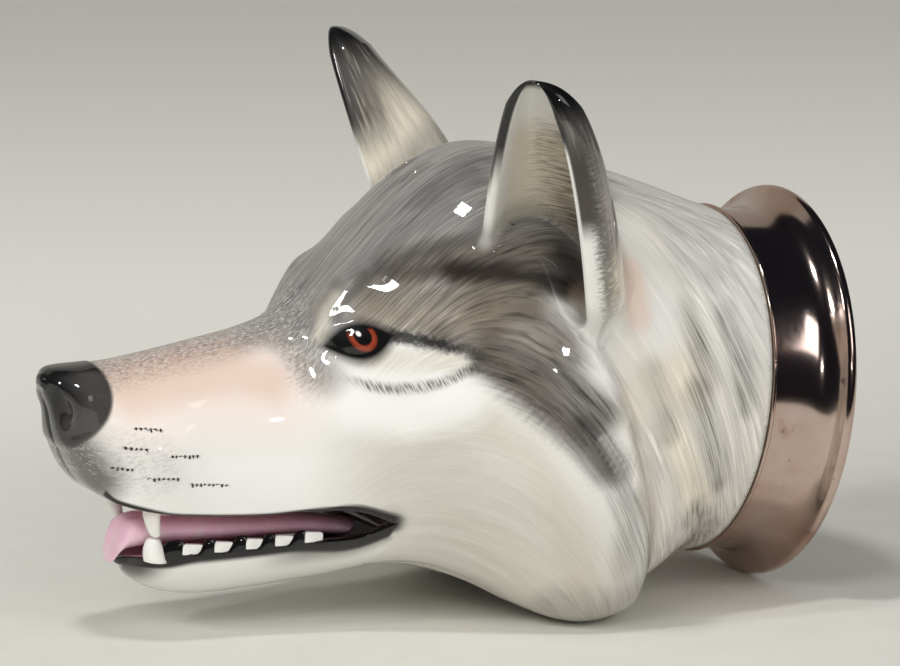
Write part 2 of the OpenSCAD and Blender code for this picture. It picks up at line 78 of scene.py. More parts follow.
class CupSizes(bpy.types.PropertyGroup):
    """Real sizes of the cup."""
    head_len: length("Head length", "From the collar's edge to the tip of the nose", 155.5)
    crown_h: length("Crown height", "Height of the crown above the neck's axis", 50)
    throat_d: length("Throat depth", "Depth of the throat below the neck's axis", 47)
    cheek_w: length("Cheek width", "Width across the cheeks, without the ruff", 89)
    ruff_rise: length("Ruff rise", "How far the ruff's rear edge stands out", 4.2)
    jowl_rise: length("Jowl rise", "How far the jowls swell below the throat", 7.3)
    wall: length("Wall", "Thickness of the porcelain round the bowl", 5)
    muzzle_wall: length("Muzzle wall", "Thickness of the porcelain in the muzzle", 2.6)
    mouth_len: length("Mouth length", "From the corner of the mouth to the tip of the nose", 74)
    vault_h: length("Palate vault", "Height of the vault of the palate above the upper lip", 4.5)
    floor_d: length("Mouth floor", "Depth of the floor of the mouth below the lower lip", 3)
    lip_t: length("Lower lip", "Thickness of the lower lip", 1.6)
    ear_len: length("Ear length", "From the ear's root inside the head to its tip", 57.5)
    ear_w: length("Ear width", "Width of an ear across its root", 31)
    ear_cup: length("Ear hollow", "Depth of the hollow of an ear", 11)
    ear_t: length("Ear wall", "Thickness of the ear's wall", 2.6)
    tongue_w: length("Tongue width", "Width of the tongue at its root", 20)
    tongue_t: length("Tongue thickness", "Thickness of the tongue", 5)
    upper_fang_len: length("Upper fang", "Length of an upper fang below the lip", 7)
    lower_fang_len: length("Lower fang", "Length of a lower fang above the lip", 4.6)
    fang_d: length("Fang diameter", "Diameter of a fang at its root", 4.2)
    lip_d: length("Rim diameter", "Outer diameter of the drinking rim", 88)
    roll_d: length("Rim roll", "Diameter of the roll along the rim", 2.6)
    lip_land: length("Rim land", "Depth of the flat worn on the roll", 0.25)
    collar_d: length("Collar diameter", "Outer diameter of the collar at its edge on the neck", 77.2)
    collar_len: length("Collar length", "Length of the collar along the neck", 18.2)
    silver_t: length("Silver thickness", "Thickness of the silver", 1.5)
    cement_t: length("Cement", "Thickness of the cement between neck and collar", 0.8)
    seam_w: length("Seam", "Width of the cement line at the seam", 0.4)
    neck_back: length("Neck setback", "How far the neck's end stays back from the rim", 6)


class CupColours(bpy.types.PropertyGroup):
    """Colours of the glaze, the enamels and the metal."""
    white: colour("White", "Bare glazed porcelain", 0.93, 0.925, 0.905)
    cream: colour("Cream", "Warm white of the cheeks and ears", 0.88, 0.845, 0.765)
    fawn: colour("Fawn", "Pale coat of the neck", 0.83, 0.80, 0.745)
    tan: colour("Tan", "Pale brown above the eye and in the ears", 0.64, 0.59, 0.51)
    grey: colour("Grey", "Coat of the forehead", 0.51, 0.495, 0.48)
    bistre: colour("Bistre", "Grey-brown side of the head", 0.42, 0.385, 0.345)
    slate: colour("Slate", "Darker strokes of the coat", 0.33, 0.315, 0.305)
    umber: colour("Umber", "Brown-black band behind the eye", 0.17, 0.14, 0.12)
    black: colour("Black", "Nose leather, lips and lids", 0.045, 0.042, 0.042)
    blush: colour("Blush", "Orange-pink wash on the muzzle and behind the ears", 0.90, 0.76, 0.67)
    tongue_pink: colour("Tongue", "Pink of the tongue", 0.92, 0.74, 0.81)
    palate: colour("Palate", "Mauve of the roof of the mouth", 0.82, 0.62, 0.68)
    mouth_red: colour("Mouth", "Red-brown towards the throat", 0.62, 0.33, 0.29)
    iris: colour("Iris", "Red-brown of the iris", 0.58, 0.23, 0.13)
    tooth: colour("Tooth", "Glaze of the teeth", 0.95, 0.945, 0.92)
    # The cement's dark colour is painted shade for the narrow gap at the seam between the neck and the
    # collar.
    cement: colour("Cement", "Cement at the seam, darkened by age", 0.36, 0.32, 0.27)
    silver: colour("Silver", "Tarnished silver of the collar", 0.82, 0.74, 0.70)
    cloth: colour("Cloth", "Dark cloth mirrored in the silver", 0.07, 0.07, 0.085)
    stage: colour("Studio", "Paper sweep under and behind the cup", 0.865, 0.855, 0.82)


def linear(shown):
    """A screen colour as the linear one that shaders take."""
    shown = np.asarray(shown, float)
    return np.where(shown <= 0.04045, shown / 12.92, ((shown + 0.055) / 1.055) ** 2.4)


def in_mm(sizes):
    """All the sizes as plain numbers in millimetres."""
    return SimpleNamespace(**{key: getattr(sizes, key) / MM for key in CupSizes.__annotations__})


def in_linear(colours):
    """All the colours as linear triples."""
    return SimpleNamespace(**{key: linear(getattr(colours, key)) for key in CupColours.__annotations__})


# Curves and falloffs
def ease(x):
    """A smooth rise from nothing at nought to one at one."""
    t = np.clip(x, 0.0, 1.0)
    return t * t * (3 - 2 * t)


def bell(x, radius):
    """One at nought, falling away on both sides over a radius."""
    return np.exp(-(x / radius) ** 2)


def spline(rows, u):
    """Rows of numbers read along one smooth curve, at places counted in rows."""
    rows = np.asarray(rows, float)
    last = len(rows) - 1
    i = np.clip(np.floor(u).astype(int), 0, last - 1)
    f = (u - i)[:, None]
    more = np.vstack([2 * rows[0] - rows[1], rows, 2 * rows[-1] - rows[-2]])
    p0, p1, p2, p3 = more[i], more[i + 1], more[i + 2], more[i + 3]
    return (2 * p1 + (p2 - p0) * f + (2 * p0 - 5 * p1 + 4 * p2 - p3) * f ** 2
            + (3 * p1 - p0 - 3 * p2 + p3) * f ** 3) / 2


def unit(v):
    return v / np.linalg.norm(v)


class HeadForm:
    """Stations of the head, in millimetres: s from the rim's plane to the nose, y to the side, h up."""

    def __init__(self, sizes):
        self.mm = mm = in_mm(sizes)
        self.neck_r = mm.collar_d / 2
        self.neck_at = mm.collar_len + mm.seam_w
        self.mouth_at = self.neck_at + mm.head_len - mm.mouth_len
        self.rim_r = (mm.lip_d - mm.roll_d) / 2
        rim = next(m for m in frame["record"]["mounts"] if m["name"] == "rim_face")
        self.pitch = math.atan2(-rim["axis"][2], rim["axis"][0])
        lean = self.turn(np.array([mm.lip_land, 0.0, self.rim_r]))
        self.rim_centre = np.array(rim["pos_m"]) / MM - lean
        self.rows = self.head_rows()
        self.jaw_rows = self.lower_jaw_rows()

    # Shares of the driving sizes
    def skull(self, f):
        return self.neck_at + f * (self.mouth_at - self.neck_at)

    def muzzle(self, f):
        return self.mouth_at + f * self.mm.mouth_len

    def up(self, f):
        return f * self.mm.crown_h

    def down(self, f):
        return -f * self.mm.throat_d

    def wide(self, f):
        return f * self.mm.cheek_w / 2

    # From the head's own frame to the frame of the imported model, in metres, and back
    def turn(self, p):
        """Tips a direction from either frame into the other, because the turn undoes itself."""
        c, s = math.cos(self.pitch), math.sin(self.pitch)
        return np.stack([-p[..., 0] * c + p[..., 2] * s, p[..., 1], p[..., 0] * s + p[..., 2] * c], -1)

    def place(self, p):
        return (self.turn(np.asarray(p, float)) + self.rim_centre) * MM

    def unplace(self, q):
        return self.turn(np.asarray(q, float) / MM - self.rim_centre)

    def head_rows(self):
        """Place, top, underside, half width, widest height, fullness above and below, lip line."""
        skull, muzzle, up, down, wide = self.skull, self.muzzle, self.up, self.down, self.wide
        return np.array([
            [skull(0), self.neck_r, -self.neck_r, self.neck_r, 0, 2, 2, down(0.42)],
            [skull(0.09), up(0.81), down(0.85), wide(0.9), down(0.02), 2, 2, down(0.45)],
            [skull(0.21), up(0.866), down(0.935), wide(0.945), down(0.085), 2, 2.3, down(0.49)],
            [skull(0.34), up(0.92), down(1), wide(0.98), down(0.17), 2, 2.6, down(0.53)],
            [skull(0.485), up(0.972), down(1.01), wide(1), down(0.255), 2, 2.9, down(0.57)],
            [skull(0.63), up(1.006), down(0.98), wide(0.98), down(0.277), 2.05, 2.8, down(0.615)],
            [skull(0.755), up(1.004), down(0.935), wide(0.91), down(0.3), 2.05, 2.5, down(0.635)],
            [skull(0.88), up(0.91), down(0.915), wide(0.81), down(0.32), 2.1, 2.2, down(0.635)],
            [muzzle(0), up(0.73), down(0.94), wide(0.7), down(0.34), 2.1, 2.1, down(0.63)],
            [muzzle(0.11), up(0.53), down(0.99), wide(0.607), down(0.34), 2.1, 2.1, down(0.6)],
            [muzzle(0.19), up(0.36), down(1.04), wide(0.55), down(0.34), 2.1, 2.1, down(0.61)],
            [muzzle(0.27), up(0.226), down(1.085), wide(0.505), down(0.36), 2.1, 2.1, down(0.624)],
            [muzzle(0.38), up(0.148), down(1.13), wide(0.46), down(0.383), 2.1, 2.1, down(0.65)],
            [muzzle(0.515), up(0.088), down(1.15), wide(0.416), down(0.405), 2.1, 2.1, down(0.666)],
            [muzzle(0.65), up(0.032), down(1.15), wide(0.382), down(0.425), 2.1, 2.1, down(0.664)],
            [muzzle(0.757), up(-0.008), down(1.065), wide(0.333), down(0.425), 2.1, 2.1, down(0.643)],
            [muzzle(0.825), up(-0.028), down(0.915), wide(0.283), down(0.383), 2.2, 2.1, down(0.61)],
            [muzzle(0.886), up(-0.044), down(0.72), wide(0.252), down(0.3), 2.4, 2.1, down(0.53)],
            [muzzle(0.936), up(-0.054), down(0.53), wide(0.205), down(0.215), 2.4, 2.1, down(0.395)],
            [muzzle(0.97), up(-0.066), down(0.33), wide(0.14), down(0.16), 2.3, 2, down(0.245)],
            [muzzle(0.99), up(-0.09), down(0.17), wide(0.05), down(0.13), 2, 2, down(0.15)],
        ])

    def lower_jaw_rows(self):
        """Place, half width, widest height, underside, fullness below, lip line."""
        muzzle, down, wide = self.muzzle, self.down, self.wide
        corner = self.rows[CORNER_ROW]
        return np.array([
            [corner[0], corner[3], corner[4], corner[2], corner[6], corner[7]],
            [muzzle(0.08), wide(0.595), down(0.383), down(0.98), 2.1, down(0.724)],
            [muzzle(0.19), wide(0.505), down(0.425), down(1.017), 2.1, down(0.766)],
            [muzzle(0.325), wide(0.427), down(0.49), down(1.055), 2.2, down(0.81)],
            [muzzle(0.46), wide(0.36), down(0.553), down(1.083), 2.3, down(0.847)],
            [muzzle(0.57), wide(0.315), down(0.617), down(1.077), 2.4, down(0.872)],
            [muzzle(0.635), wide(0.275), down(0.66), down(1.05), 2.4, down(0.89)],
            [muzzle(0.676), wide(0.22), down(0.723), down(1.013), 2.3, down(0.902)],
            [muzzle(0.697), wide(0.112), down(0.81), down(0.966), 2.1, down(0.92)],
        ])

    def swell(self, s, y, h):
        """Rise of the brows, cheeks, jowls, lips and ruff above the plain stations."""
        skull, muzzle, up, down, wide = self.skull, self.muzzle, self.up, self.down, self.wide
        bumps = [
            (muzzle(0.165), wide(0.29), up(0.32), wide(0.18), wide(0.157), wide(0.157), up(0.064)),
            (muzzle(0.055), wide(0.45), up(0.28), wide(0.18), wide(0.18), wide(0.135), up(0.04)),
            (muzzle(0.24), wide(0.36), up(0.08), wide(0.135), wide(0.157), wide(0.135), up(-0.04)),
            (muzzle(0.15), wide(0.54), up(0.16), wide(0.157), wide(0.2), wide(0.112), up(-0.05)),
            (muzzle(0.15), wide(0.506), up(0.17), wide(0.112), wide(0.18), wide(0.094), up(0.068)),
            (skull(0.95), wide(0.74), down(0.085), wide(0.315), wide(0.27), wide(0.225), up(0.05)),
            (skull(0.5), wide(0.764), down(0.96), wide(0.45), wide(0.337), wide(0.315), self.mm.jowl_rise),
            (muzzle(0.7), wide(0.337), down(0.47), wide(0.2), wide(0.18), wide(0.18), up(0.032)),
            (skull(0.695), wide(0.81), up(0.56), wide(0.29), wide(0.29), wide(0.29), up(0.07)),
            (muzzle(0.905), wide(0.225), down(0.17), wide(0.09), wide(0.09), wide(0.09), up(0.024)),
            (muzzle(0.945), wide(0.157), down(0.25), wide(0.058), wide(0.058), wide(0.067), up(-0.048)),
            (skull(0.854), 0, up(0.94), wide(0.315), wide(0.112), wide(0.18), up(-0.024)),
        ]
        rise = self.ruff(s, y, h)
        for s0, y0, h0, rs, ry, rh, high in bumps:
            rise = rise + high * bell(s - s0, rs) * bell(y - y0, ry) * bell(h - h0, rh)
        return rise

    def ruff_edge(self, h):
        d = h - self.down(0.53)
        return self.skull(0.39) + 0.3 * d + 0.2 * d ** 2 / self.mm.crown_h

    def ruff(self, s, y, h):
        run, drop = 26.0, 6.0
        d = s - self.ruff_edge(h)
        rise = np.where(d > 0, np.exp(-np.maximum(d, 0) / run), 1 - ease(-d / drop))
        span = ease((h - self.down(1.1)) / self.up(0.28)) * ease((self.up(0.52) - h) / self.up(0.44))
        return self.mm.ruff_rise * rise * span * ease((y - self.wide(0.225)) / self.wide(0.337))

    def section(self, st, a):
        """Points of stations at angles from the crown, with the swellings."""
        s, top, under, half, mid, full_up, full_down = (st[:, k:k + 1] for k in range(7))
        above = np.cos(a) >= 0
        n = np.where(above, full_up, full_down)
        reach = np.where(above, top - mid, mid - under)
        y = half * np.abs(np.sin(a)) ** (2 / n)
        dh = reach * np.sign(np.cos(a)) * np.abs(np.cos(a)) ** (2 / n)
        far = np.maximum(np.hypot(y, dh), 0.001)
        d = self.swell(s, y, mid + dh)
        return y * (1 + d / far), mid + dh * (1 + d / far)

    def lip_angle(self, st):
        drop = np.clip((st[:, 4] - st[:, 7]) / (st[:, 4] - st[:, 2]), 0, 1)
        return math.pi - np.arccos(drop ** (st[:, 6] / 2))

    def stretch(self, st, low, high, shares):
        """Points at even shares of the length between two angles, and their distances along it."""
        fine = np.linspace(0, 1, 181)
        a = low[:, None] + (high - low)[:, None] * fine
        y, h = self.section(st, a)
        run = np.hypot(np.diff(y, axis=1), np.diff(h, axis=1)).cumsum(1)
        run = np.hstack([np.zeros((len(st), 1)), run])
        angles = np.array([np.interp(shares * r[-1], r, row) for r, row in zip(run, a)])
        return self.section(st, angles), shares * run[:, -1:]

    def wall_at(self, s):
        thick_to, thin_from = self.skull(0.45), self.skull(0.85)
        thinned = ease((s - thick_to) / (thin_from - thick_to))
        return self.mm.wall + (self.mm.muzzle_wall - self.mm.wall) * thinned

    def bowl_ring(self, s, angle):
        """One ring of the inside of the bowl: the narrowest station nearby, drawn in by the wall."""
        t, end, blunt, reach = self.wall_at(s), self.muzzle(0.93), 20.0, 1.8
        near = rows_at_places(self.rows, np.maximum(self.neck_at, s + np.linspace(-1, 1, 5) * reach * t))
        here = near[2]
        top, half = near[:, 1].min() - t, near[:, 3].min() - t
        behind = 1 - ease((s - self.mouth_at + 5 * t) / (3 * t))
        floor_h = near[:, 7].max() + self.vault(s) + t
        low = behind * (near[:, 2].max() + t) + (1 - behind) * floor_h
        close = math.sqrt(max(0.0004, 1 - (max(0.0, s - end + blunt) / blunt) ** 2))
        mid = (top + low) / 2
        n = np.where(np.cos(angle) >= 0, here[5], here[6])
        y = half * close * np.abs(np.sin(angle)) ** (2 / n)
        dh = (top - low) / 2 * close * np.sign(np.cos(angle)) * np.abs(np.cos(angle)) ** (2 / n)
        far = np.maximum(np.hypot(y, dh), 0.001)
        d = self.swell(s, y * (1 + t / far), mid + dh * (1 + t / far))
        run_out = 1 - ease((s - self.skull(0.85)) / (self.mouth_at - self.skull(0.85)))
        d = d * np.where(d < 0, 1, 0.8 * run_out)
        return as_points(s + 0 * angle, y * (1 + d / far), mid + dh * (1 + d / far))

    def vault(self, s):
        full, out = self.muzzle(0.66), self.muzzle(0.78)
        return self.mm.vault_h * (1 - ease((s - full) / (out - full)))


CORNER_ROW = 8
SIDE_STEPS = 104
UNDER_STEPS = 46
FLOOR_STEPS = 34
CREST_STEPS = 8
PALATE_STEPS = FLOOR_STEPS + CREST_STEPS
CAP_STEPS = 8

# For the paint: the jaw's distance from the crown's ridge, the marks of the two insides, and a
# distance that keeps the bowl clear of the lip, in millimetres
JAW_ARC = 60
MOUTH, BOWL = 1, 2
FAR_FROM_LIP = 99


def dense_places(stops):
    """Places from the first stop to the last, at each stop's own spacing."""
    places = []
    for (low, gap), (high, _) in zip(stops[:-1], stops[1:]):
        count = max(1, round((high - low) / gap))
        places.extend(low + (high - low) * k / count for k in range(count))
    return np.array(places + [stops[-1][0]])


def rows_at_places(rows, places):
    """The stations at places along the head."""
    u = np.linspace(0, len(rows) - 1, 4001)
    return spline(rows, np.interp(places, spline(rows, u)[:, 0], u))


def side_shares():
    """Shares along the side of a station, closer together at the height of the eye."""
    t = np.linspace(0, 1, 801)
    weight = 1 + 1.3 * bell(t - 0.42, 0.13) + 1.0 * bell(t - 1.0, 0.05)
    run = np.concatenate([[0], np.cumsum((weight[1:] + weight[:-1]) / 2)])
    return np.interp(np.linspace(0, 1, SIDE_STEPS + 1), run / run[-1], t)


def patch_of(points, arc, lip, jaw, inside):
    """A grid of points with what the paint needs to know of each.

    These are its distances from the crown's ridge and from the lip's edge in millimetres,
    whether it lies on the lower jaw, and whether it lies inside the mouth or the bowl.
    """
    return SimpleNamespace(points=points, arc=arc, lip=lip, jaw=jaw, inside=inside)


def as_points(s, y, h):
    return np.stack(np.broadcast_arrays(s, -y, h), -1)


def rounded_cap(ring, swell_out):
    """Rings that close the front end of a form in a soft dome."""
    centre = np.array([ring[:, 0].max(), 0.0, (ring[:, 2].max() + ring[:, 2].min()) / 2])
    rings = []
    for k in range(1, CAP_STEPS + 1):
        t = math.pi / 2 * k / CAP_STEPS
        shrunk = centre + (ring - centre) * math.cos(t)
        shrunk[:, 0] += swell_out * math.sin(t)
        rings.append(shrunk)
    return np.array(rings)


def head_patches(form):
    """The left half of the head, the jaw and the mouth, as grids that share their edges."""
    shares, under_shares = side_shares(), np.linspace(0, 1, UNDER_STEPS + 1)
    rear = rows_at_places(form.rows, dense_places([
        (form.neck_at, 1.1), (form.skull(0.75), 0.9), (form.mouth_at - 3, 0.5), (form.mouth_at, 0.5)]))
    front = rows_at_places(form.rows, dense_places([
        (form.mouth_at, 0.5), (form.muzzle(0.3), 0.75), (form.muzzle(0.76), 0.42),
        (form.rows[-1][0], 0.42)]))
    patches = []

    # Behind the corner of the mouth the stations are whole
    lip = form.lip_angle(rear)
    (ya, ha), arc_a = form.stretch(rear, 0 * lip, lip, shares)
    (yb, hb), arc_b = form.stretch(rear, lip, 0 * lip + math.pi, under_shares)
    y, h = np.hstack([ya, yb[:, 1:]]), np.hstack([ha, hb[:, 1:]])
    arc = np.hstack([arc_a, arc_a[:, -1:] + arc_b[:, 1:]])
    s = rear[:, :1]
    from_lip = np.hypot(arc - arc_a[:, -1:], form.mouth_at - s)
    patches.append(patch_of(as_points(s, y, h), arc, from_lip, 0 * y, 0 * y))

    # In front of it, the upper side runs over the lip into the palate
    lip = form.lip_angle(front)
    (ya, ha), arc_a = form.stretch(front, 0 * lip, lip, shares)
    s = front[:, :1]
    inward = ya[:, -1:] * np.linspace(0, 1, PALATE_STEPS + 1)[1:]
    yp = ya[:, -1:] - inward
    hp = ha[:, -1:] + form.vault(s) * ease((inward - form.mm.lip_t) / 3.5)
    y, h = np.hstack([ya, yp]), np.hstack([ha, hp])
    soften_lip(y, h, ease((s[:, 0] - form.mouth_at - 0.5) / 5), reach=5, passes=6)
    soften_lip(y, h, ease((s[:, 0] - form.muzzle(0.79)) / 7), reach=38, passes=400)
    arc = np.hstack([arc_a, arc_a[:, -1:] + inward])
    from_lip = np.hstack([arc_a[:, -1:] - arc_a, -inward])
    inside = np.hstack([0 * ya, 0 * yp + MOUTH * ease((form.muzzle(0.77) - s) / 3)])
    upper = patch_of(as_points(s, y, h), arc, from_lip, 0 * y, inside)
    patches.append(upper)
    nose = rounded_cap(upper.points[-1], 0.5)
    last = [np.repeat(a[-1:], CAP_STEPS + 1, 0) for a in (arc, from_lip, 0 * y, 0 * inside)]
    patches.append(patch_of(np.vstack([upper.points[-1:], nose]), *last))

    # The lower jaw runs from the middle of its floor over the lip to the middle of its underside
    jaw = rows_at_places(form.jaw_rows, dense_places([
        (form.mouth_at, 0.6), (form.muzzle(0.6), 0.45), (form.jaw_rows[-1][0], 0.45)]))
    st = np.stack([jaw[:, 0], 0 * jaw[:, 0], jaw[:, 3], jaw[:, 1], jaw[:, 2],
                   0 * jaw[:, 0] + 2, jaw[:, 4], jaw[:, 5]], 1)
    lip = form.lip_angle(st)
    (yo, ho), arc_o = form.stretch(st, lip, 0 * lip + math.pi, under_shares)
    s, edge_y, edge_h = st[:, :1], yo[:, :1], ho[:, :1]
    thick = np.minimum(form.mm.lip_t, edge_y / 4)
    floor_y = (edge_y - thick) * np.linspace(0, 1, FLOOR_STEPS + 1)
    dip = form.mm.floor_d * np.minimum(1, edge_y / 12)
    floor_h = edge_h - dip * ease((edge_y - thick - floor_y - 1.8) / 3)
    over = np.linspace(0, 1, CREST_STEPS + 1)[1:-1]
    rise = lip_lobes(form, s) * np.sin(math.pi * over) ** 0.45 + 0.25 * np.sin(math.pi * over)
    crest_y = edge_y - thick * (1 - over)
    y = np.hstack([floor_y, crest_y, yo])
    h = np.hstack([floor_h, edge_h + rise, ho])
    from_lip = np.hstack([floor_y - edge_y, crest_y - edge_y, arc_o])
    inside = np.hstack([0 * floor_y + MOUTH, 0 * crest_y, 0 * yo])
    lower = patch_of(as_points(s, y, h), JAW_ARC + from_lip, from_lip, 0 * y + 1, inside)
    patches.append(lower)
    chin = rounded_cap(lower.points[-1], 1.6)
    last = [np.repeat(a[-1:], CAP_STEPS + 1, 0) for a in (lower.arc, from_lip, 0 * y + 1, 0 * inside)]
    patches.append(patch_of(np.vstack([lower.points[-1:], chin]), *last))

    # The back of the mouth closes the gap between palate and floor
    roof = upper.points[0, SIDE_STEPS:]
    base = lower.points[0, :PALATE_STEPS + 1][::-1]
    depth = np.linspace(0, 1, 6)[:, None, None]
    wall = roof * (1 - depth) + base * depth
    plain = 0 * wall[..., 0]
    patches.append(patch_of(wall, plain + JAW_ARC, plain - 6, plain, plain + MOUTH))
    patches.extend(bowl_patches(form, patches[0].points[0]))
    return patches


def soften_lip(y, h, amount, reach, passes):
    """Rounds the edge of the upper lip, or with a long reach the front of the nose, where amount is one."""
    for _ in range(passes):
        cols = slice(SIDE_STEPS - reach, SIDE_STEPS + reach + 1)
        for part in (y, h):
            mean = (part[:, SIDE_STEPS - reach - 1:SIDE_STEPS + reach]
                    + part[:, SIDE_STEPS - reach + 1:SIDE_STEPS + reach + 2]) / 2
            part[:, cols] += (mean - part[:, cols]) * 0.5 * amount[:, None]


def lip_lobes(form, s):
    """Height of the lobes along the lower lip: a broad one in front and smaller ones behind it."""
    lobes = [(0.593, 2.9, 3.3), (0.493, 1.7, 3.1), (0.404, 1.9, 3.1), (0.322, 1.7, 2.9), (0.236, 1.7, 2.7)]
    height = 0 * s
    for share, half, high in lobes:
        height = np.maximum(height, high * np.exp(-((s - form.muzzle(share)) / half) ** 4))
    return height


def bowl_patches(form, neck_ring):
    """The neck's step into the collar and the inside of the bowl."""
    spigot = form.neck_r - form.mm.silver_t - form.mm.cement_t
    bore = spigot - form.mm.wall
    angle = np.linspace(0, math.pi, len(neck_ring))

    def hoop(s, r):
        return as_points(s + 0 * angle, r * np.abs(np.sin(angle)), r * np.cos(angle))

    rings = [neck_ring, hoop(form.neck_at, spigot), hoop(form.mm.neck_back + 0.6, spigot),
             hoop(form.mm.neck_back, spigot - 0.6), hoop(form.mm.neck_back, bore + 0.8),
             hoop(form.mm.neck_back + 0.8, bore)]
    end = form.muzzle(0.93)
    for k in range(41):
        share = math.sin(math.pi / 2 * k / 40)
        rings.append(form.bowl_ring(form.neck_at + (end - form.neck_at) * share, angle))
    rings.append(0 * rings[-1] + rings[-1].mean(0) * np.array([1.0, 0.0, 1.0]))
    points = np.array(rings)
    plain = 0 * points[..., 0]
    return [patch_of(points, plain, plain + FAR_FROM_LIP, plain, plain + BOWL)]


# Mesh work
def only(obj):
    """Makes one object the selected and active one."""
    bpy.ops.object.select_all(action="DESELECT")
    obj.select_set(True)
    bpy.context.view_layer.objects.active = obj


def edit_all(obj, *steps):
    """Runs edit-mode operators on the whole of an object."""
    only(obj)
    bpy.ops.object.mode_set(mode="EDIT")
    bpy.ops.mesh.select_all(action="SELECT")
    for step in steps:
        step()
    bpy.ops.object.mode_set(mode="OBJECT")


def merge(metres=2e-6):
    """A step that merges points no further apart than this."""
    return lambda: bpy.ops.mesh.remove_doubles(threshold=metres)


def face_out():
    bpy.ops.mesh.normals_make_consistent(inside=False)


def outward(obj):
    """Turns the faces of a closed piece outwards."""
    edit_all(obj, face_out)
    mesh = obj.data
    mesh.calc_loop_triangles()
    corners = np.empty(len(mesh.loop_triangles) * 3, np.int32)
    mesh.loop_triangles.foreach_get("vertices", corners)
    a, b, c = coords(mesh)[corners.reshape(-1, 3)].transpose(1, 0, 2)
    if (a * np.cross(b, c)).sum() < 0:
        edit_all(obj, bpy.ops.mesh.flip_normals)


def grid(name, points):
    """A grid primitive whose points are set to a table of places in metres."""
    rows, cols = points.shape[:2]
    bpy.ops.object.select_all(action="DESELECT")
    bpy.ops.mesh.primitive_grid_add(x_subdivisions=cols - 1, y_subdivisions=rows - 1, size=1)
    obj = bpy.context.object
    obj.name = obj.data.name = name
    obj.data.vertices.foreach_set("co", np.ascontiguousarray(points, np.float32).ravel())
    for layer in list(obj.data.uv_layers):
        obj.data.uv_layers.remove(layer)
    return obj


def coords(mesh):
    co = np.empty(len(mesh.vertices) * 3, np.float32)
    mesh.vertices.foreach_get("co", co)
    return co.reshape(-1, 3).astype(float)


def set_coords(mesh, co):
    mesh.vertices.foreach_set("co", np.ascontiguousarray(co, np.float32).ravel())
    mesh.update()


def normals(mesh):
    no = np.empty(len(mesh.vertices) * 3, np.float32)
    mesh.vertex_normals.foreach_get("vector", no)
    return no.reshape(-1, 3).astype(float)


def put(mesh, name, values):
    """Keeps three numbers a point, for the shaders to read."""
    layer = mesh.attributes.get(name) or mesh.attributes.new(name, "FLOAT_VECTOR", "POINT")
    layer.data.foreach_set("vector", np.ascontiguousarray(values, np.float32).ravel())


def take(mesh, name):
    values = np.empty(len(mesh.vertices) * 3, np.float32)
    mesh.attributes[name].data.foreach_get("vector", values)
    return values.reshape(-1, 3).astype(float)


def join(objects):
    bpy.ops.object.select_all(action="DESELECT")
    for obj in objects:
        obj.select_set(True)
    bpy.context.view_layer.objects.active = objects[0]
    bpy.ops.object.join()
    return bpy.context.object


def apply_modifier(obj, kind, **settings):
    """Adds a modifier with its settings and applies it."""
    only(obj)
    mod = obj.modifiers.new(kind.title(), kind)
    for key, value in settings.items():
        setattr(mod, key, value)
    bpy.ops.object.modifier_apply(modifier=mod.name)


def finish(obj, name, slot, material, *nodes):
    """Smooths a piece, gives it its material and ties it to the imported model."""
    obj.name = obj.data.name = name
    only(obj)
    bpy.ops.object.shade_smooth()
    obj.data.materials.clear()
    obj.data.materials.append(material)
    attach(obj, ROOT)
    if nodes:
        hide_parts(*nodes)
    return obj


# Fine modelling of the head
# The eye's middle, its tilt in radians, half its length, the heights of its lids and how round its
# iris is, and then the place in front of which the lip runs under the nose
EYE = SimpleNamespace(s=110.2, h=8.3, tilt=-0.36, half=5.8, up=3.3, low=3.0, round=0.82)
LIP_END = 161


def eye_frame(s, h):
    """Distance forwards along the slit of the eye and upwards across it."""
    c, n = math.cos(EYE.tilt), math.sin(EYE.tilt)
    return (s - EYE.s) * c + (h - EYE.h) * n, -(s - EYE.s) * n + (h - EYE.h) * c


def almond(along, across):
    """One on the edge of the lids, less inside them."""
    lid = np.where(across > 0, EYE.up, EYE.low)
    return np.sqrt((along / EYE.half) ** 2 + (across / lid) ** 2 + 1e-9)


def nose_edge(h):
    """Place of the rear edge of the nose leather at a height."""
    return 160.4 + 0.052 * (h + 7) ** 2


def carve(s, y, h):
    """Rise of the lids, eyeballs, nose leather and nostrils, and of the folds of the brow."""
    along, across = eye_frame(s, h)
    near_eye = ease((y - 12) / 6) * bell(s - EYE.s, 22)
    q = almond(along, across)
    ball = 0.7 * np.clip(1 - q ** 2, 0, 1)
    upper_lid = 0.45 * bell((q - 1.25) * 3.0, 0.9) * ease((across + 0.5) / 2)
    lower_lid = 0.35 * bell((q - 1.2) * 3.0, 0.8) * ease((0.5 - across) / 2)
    duct = -0.7 * bell(np.hypot(along - EYE.half - 0.6, across + 0.3), 1.8)
    rise = near_eye * (ball + upper_lid + lower_lid + duct)
    fold = stroke(s, h, [(117, 8), (116, 13), (113, 19), (108, 24), (101, 30)], 2.2, 1.0)
    crease = stroke(s, h, [(114, 13), (111.5, 18), (106.5, 24), (99, 30)], 1.3, 1.0)
    rise = rise + (0.40 * fold - 0.25 * crease) * ease((y - 7) / 6)

    leather = ease((s - nose_edge(h)) / 1.3) * ease((h + 21) / 3)
    rise = rise + 0.3 * leather
    hole = bell(s - 170.4, 1.9) * bell(y - 7.4, 2.2) * bell(h + 11.6, 3.2)
    slit = bell(h + 15.2 + 0.6 * (s - 167.2), 0.9) * bell(s - 167.4, 1.9) * ease((y - 5) / 2)
    wing = bell(s - 167.4, 2.2) * bell(h + 9.8, 2.8) * ease((y - 6) / 2)
    groove = bell(y, 0.8) * ease((s - 162) / 4) * ease((-8 - h) / 4)
    rise = rise - 1.9 * hole - 0.7 * slit + 0.4 * wing - 0.5 * groove
    furrow = bell(y, 2.2) * ease((s - 88) / 14) * ease((126 - s) / 10)
    return rise - 0.8 * furrow * (h > 4)


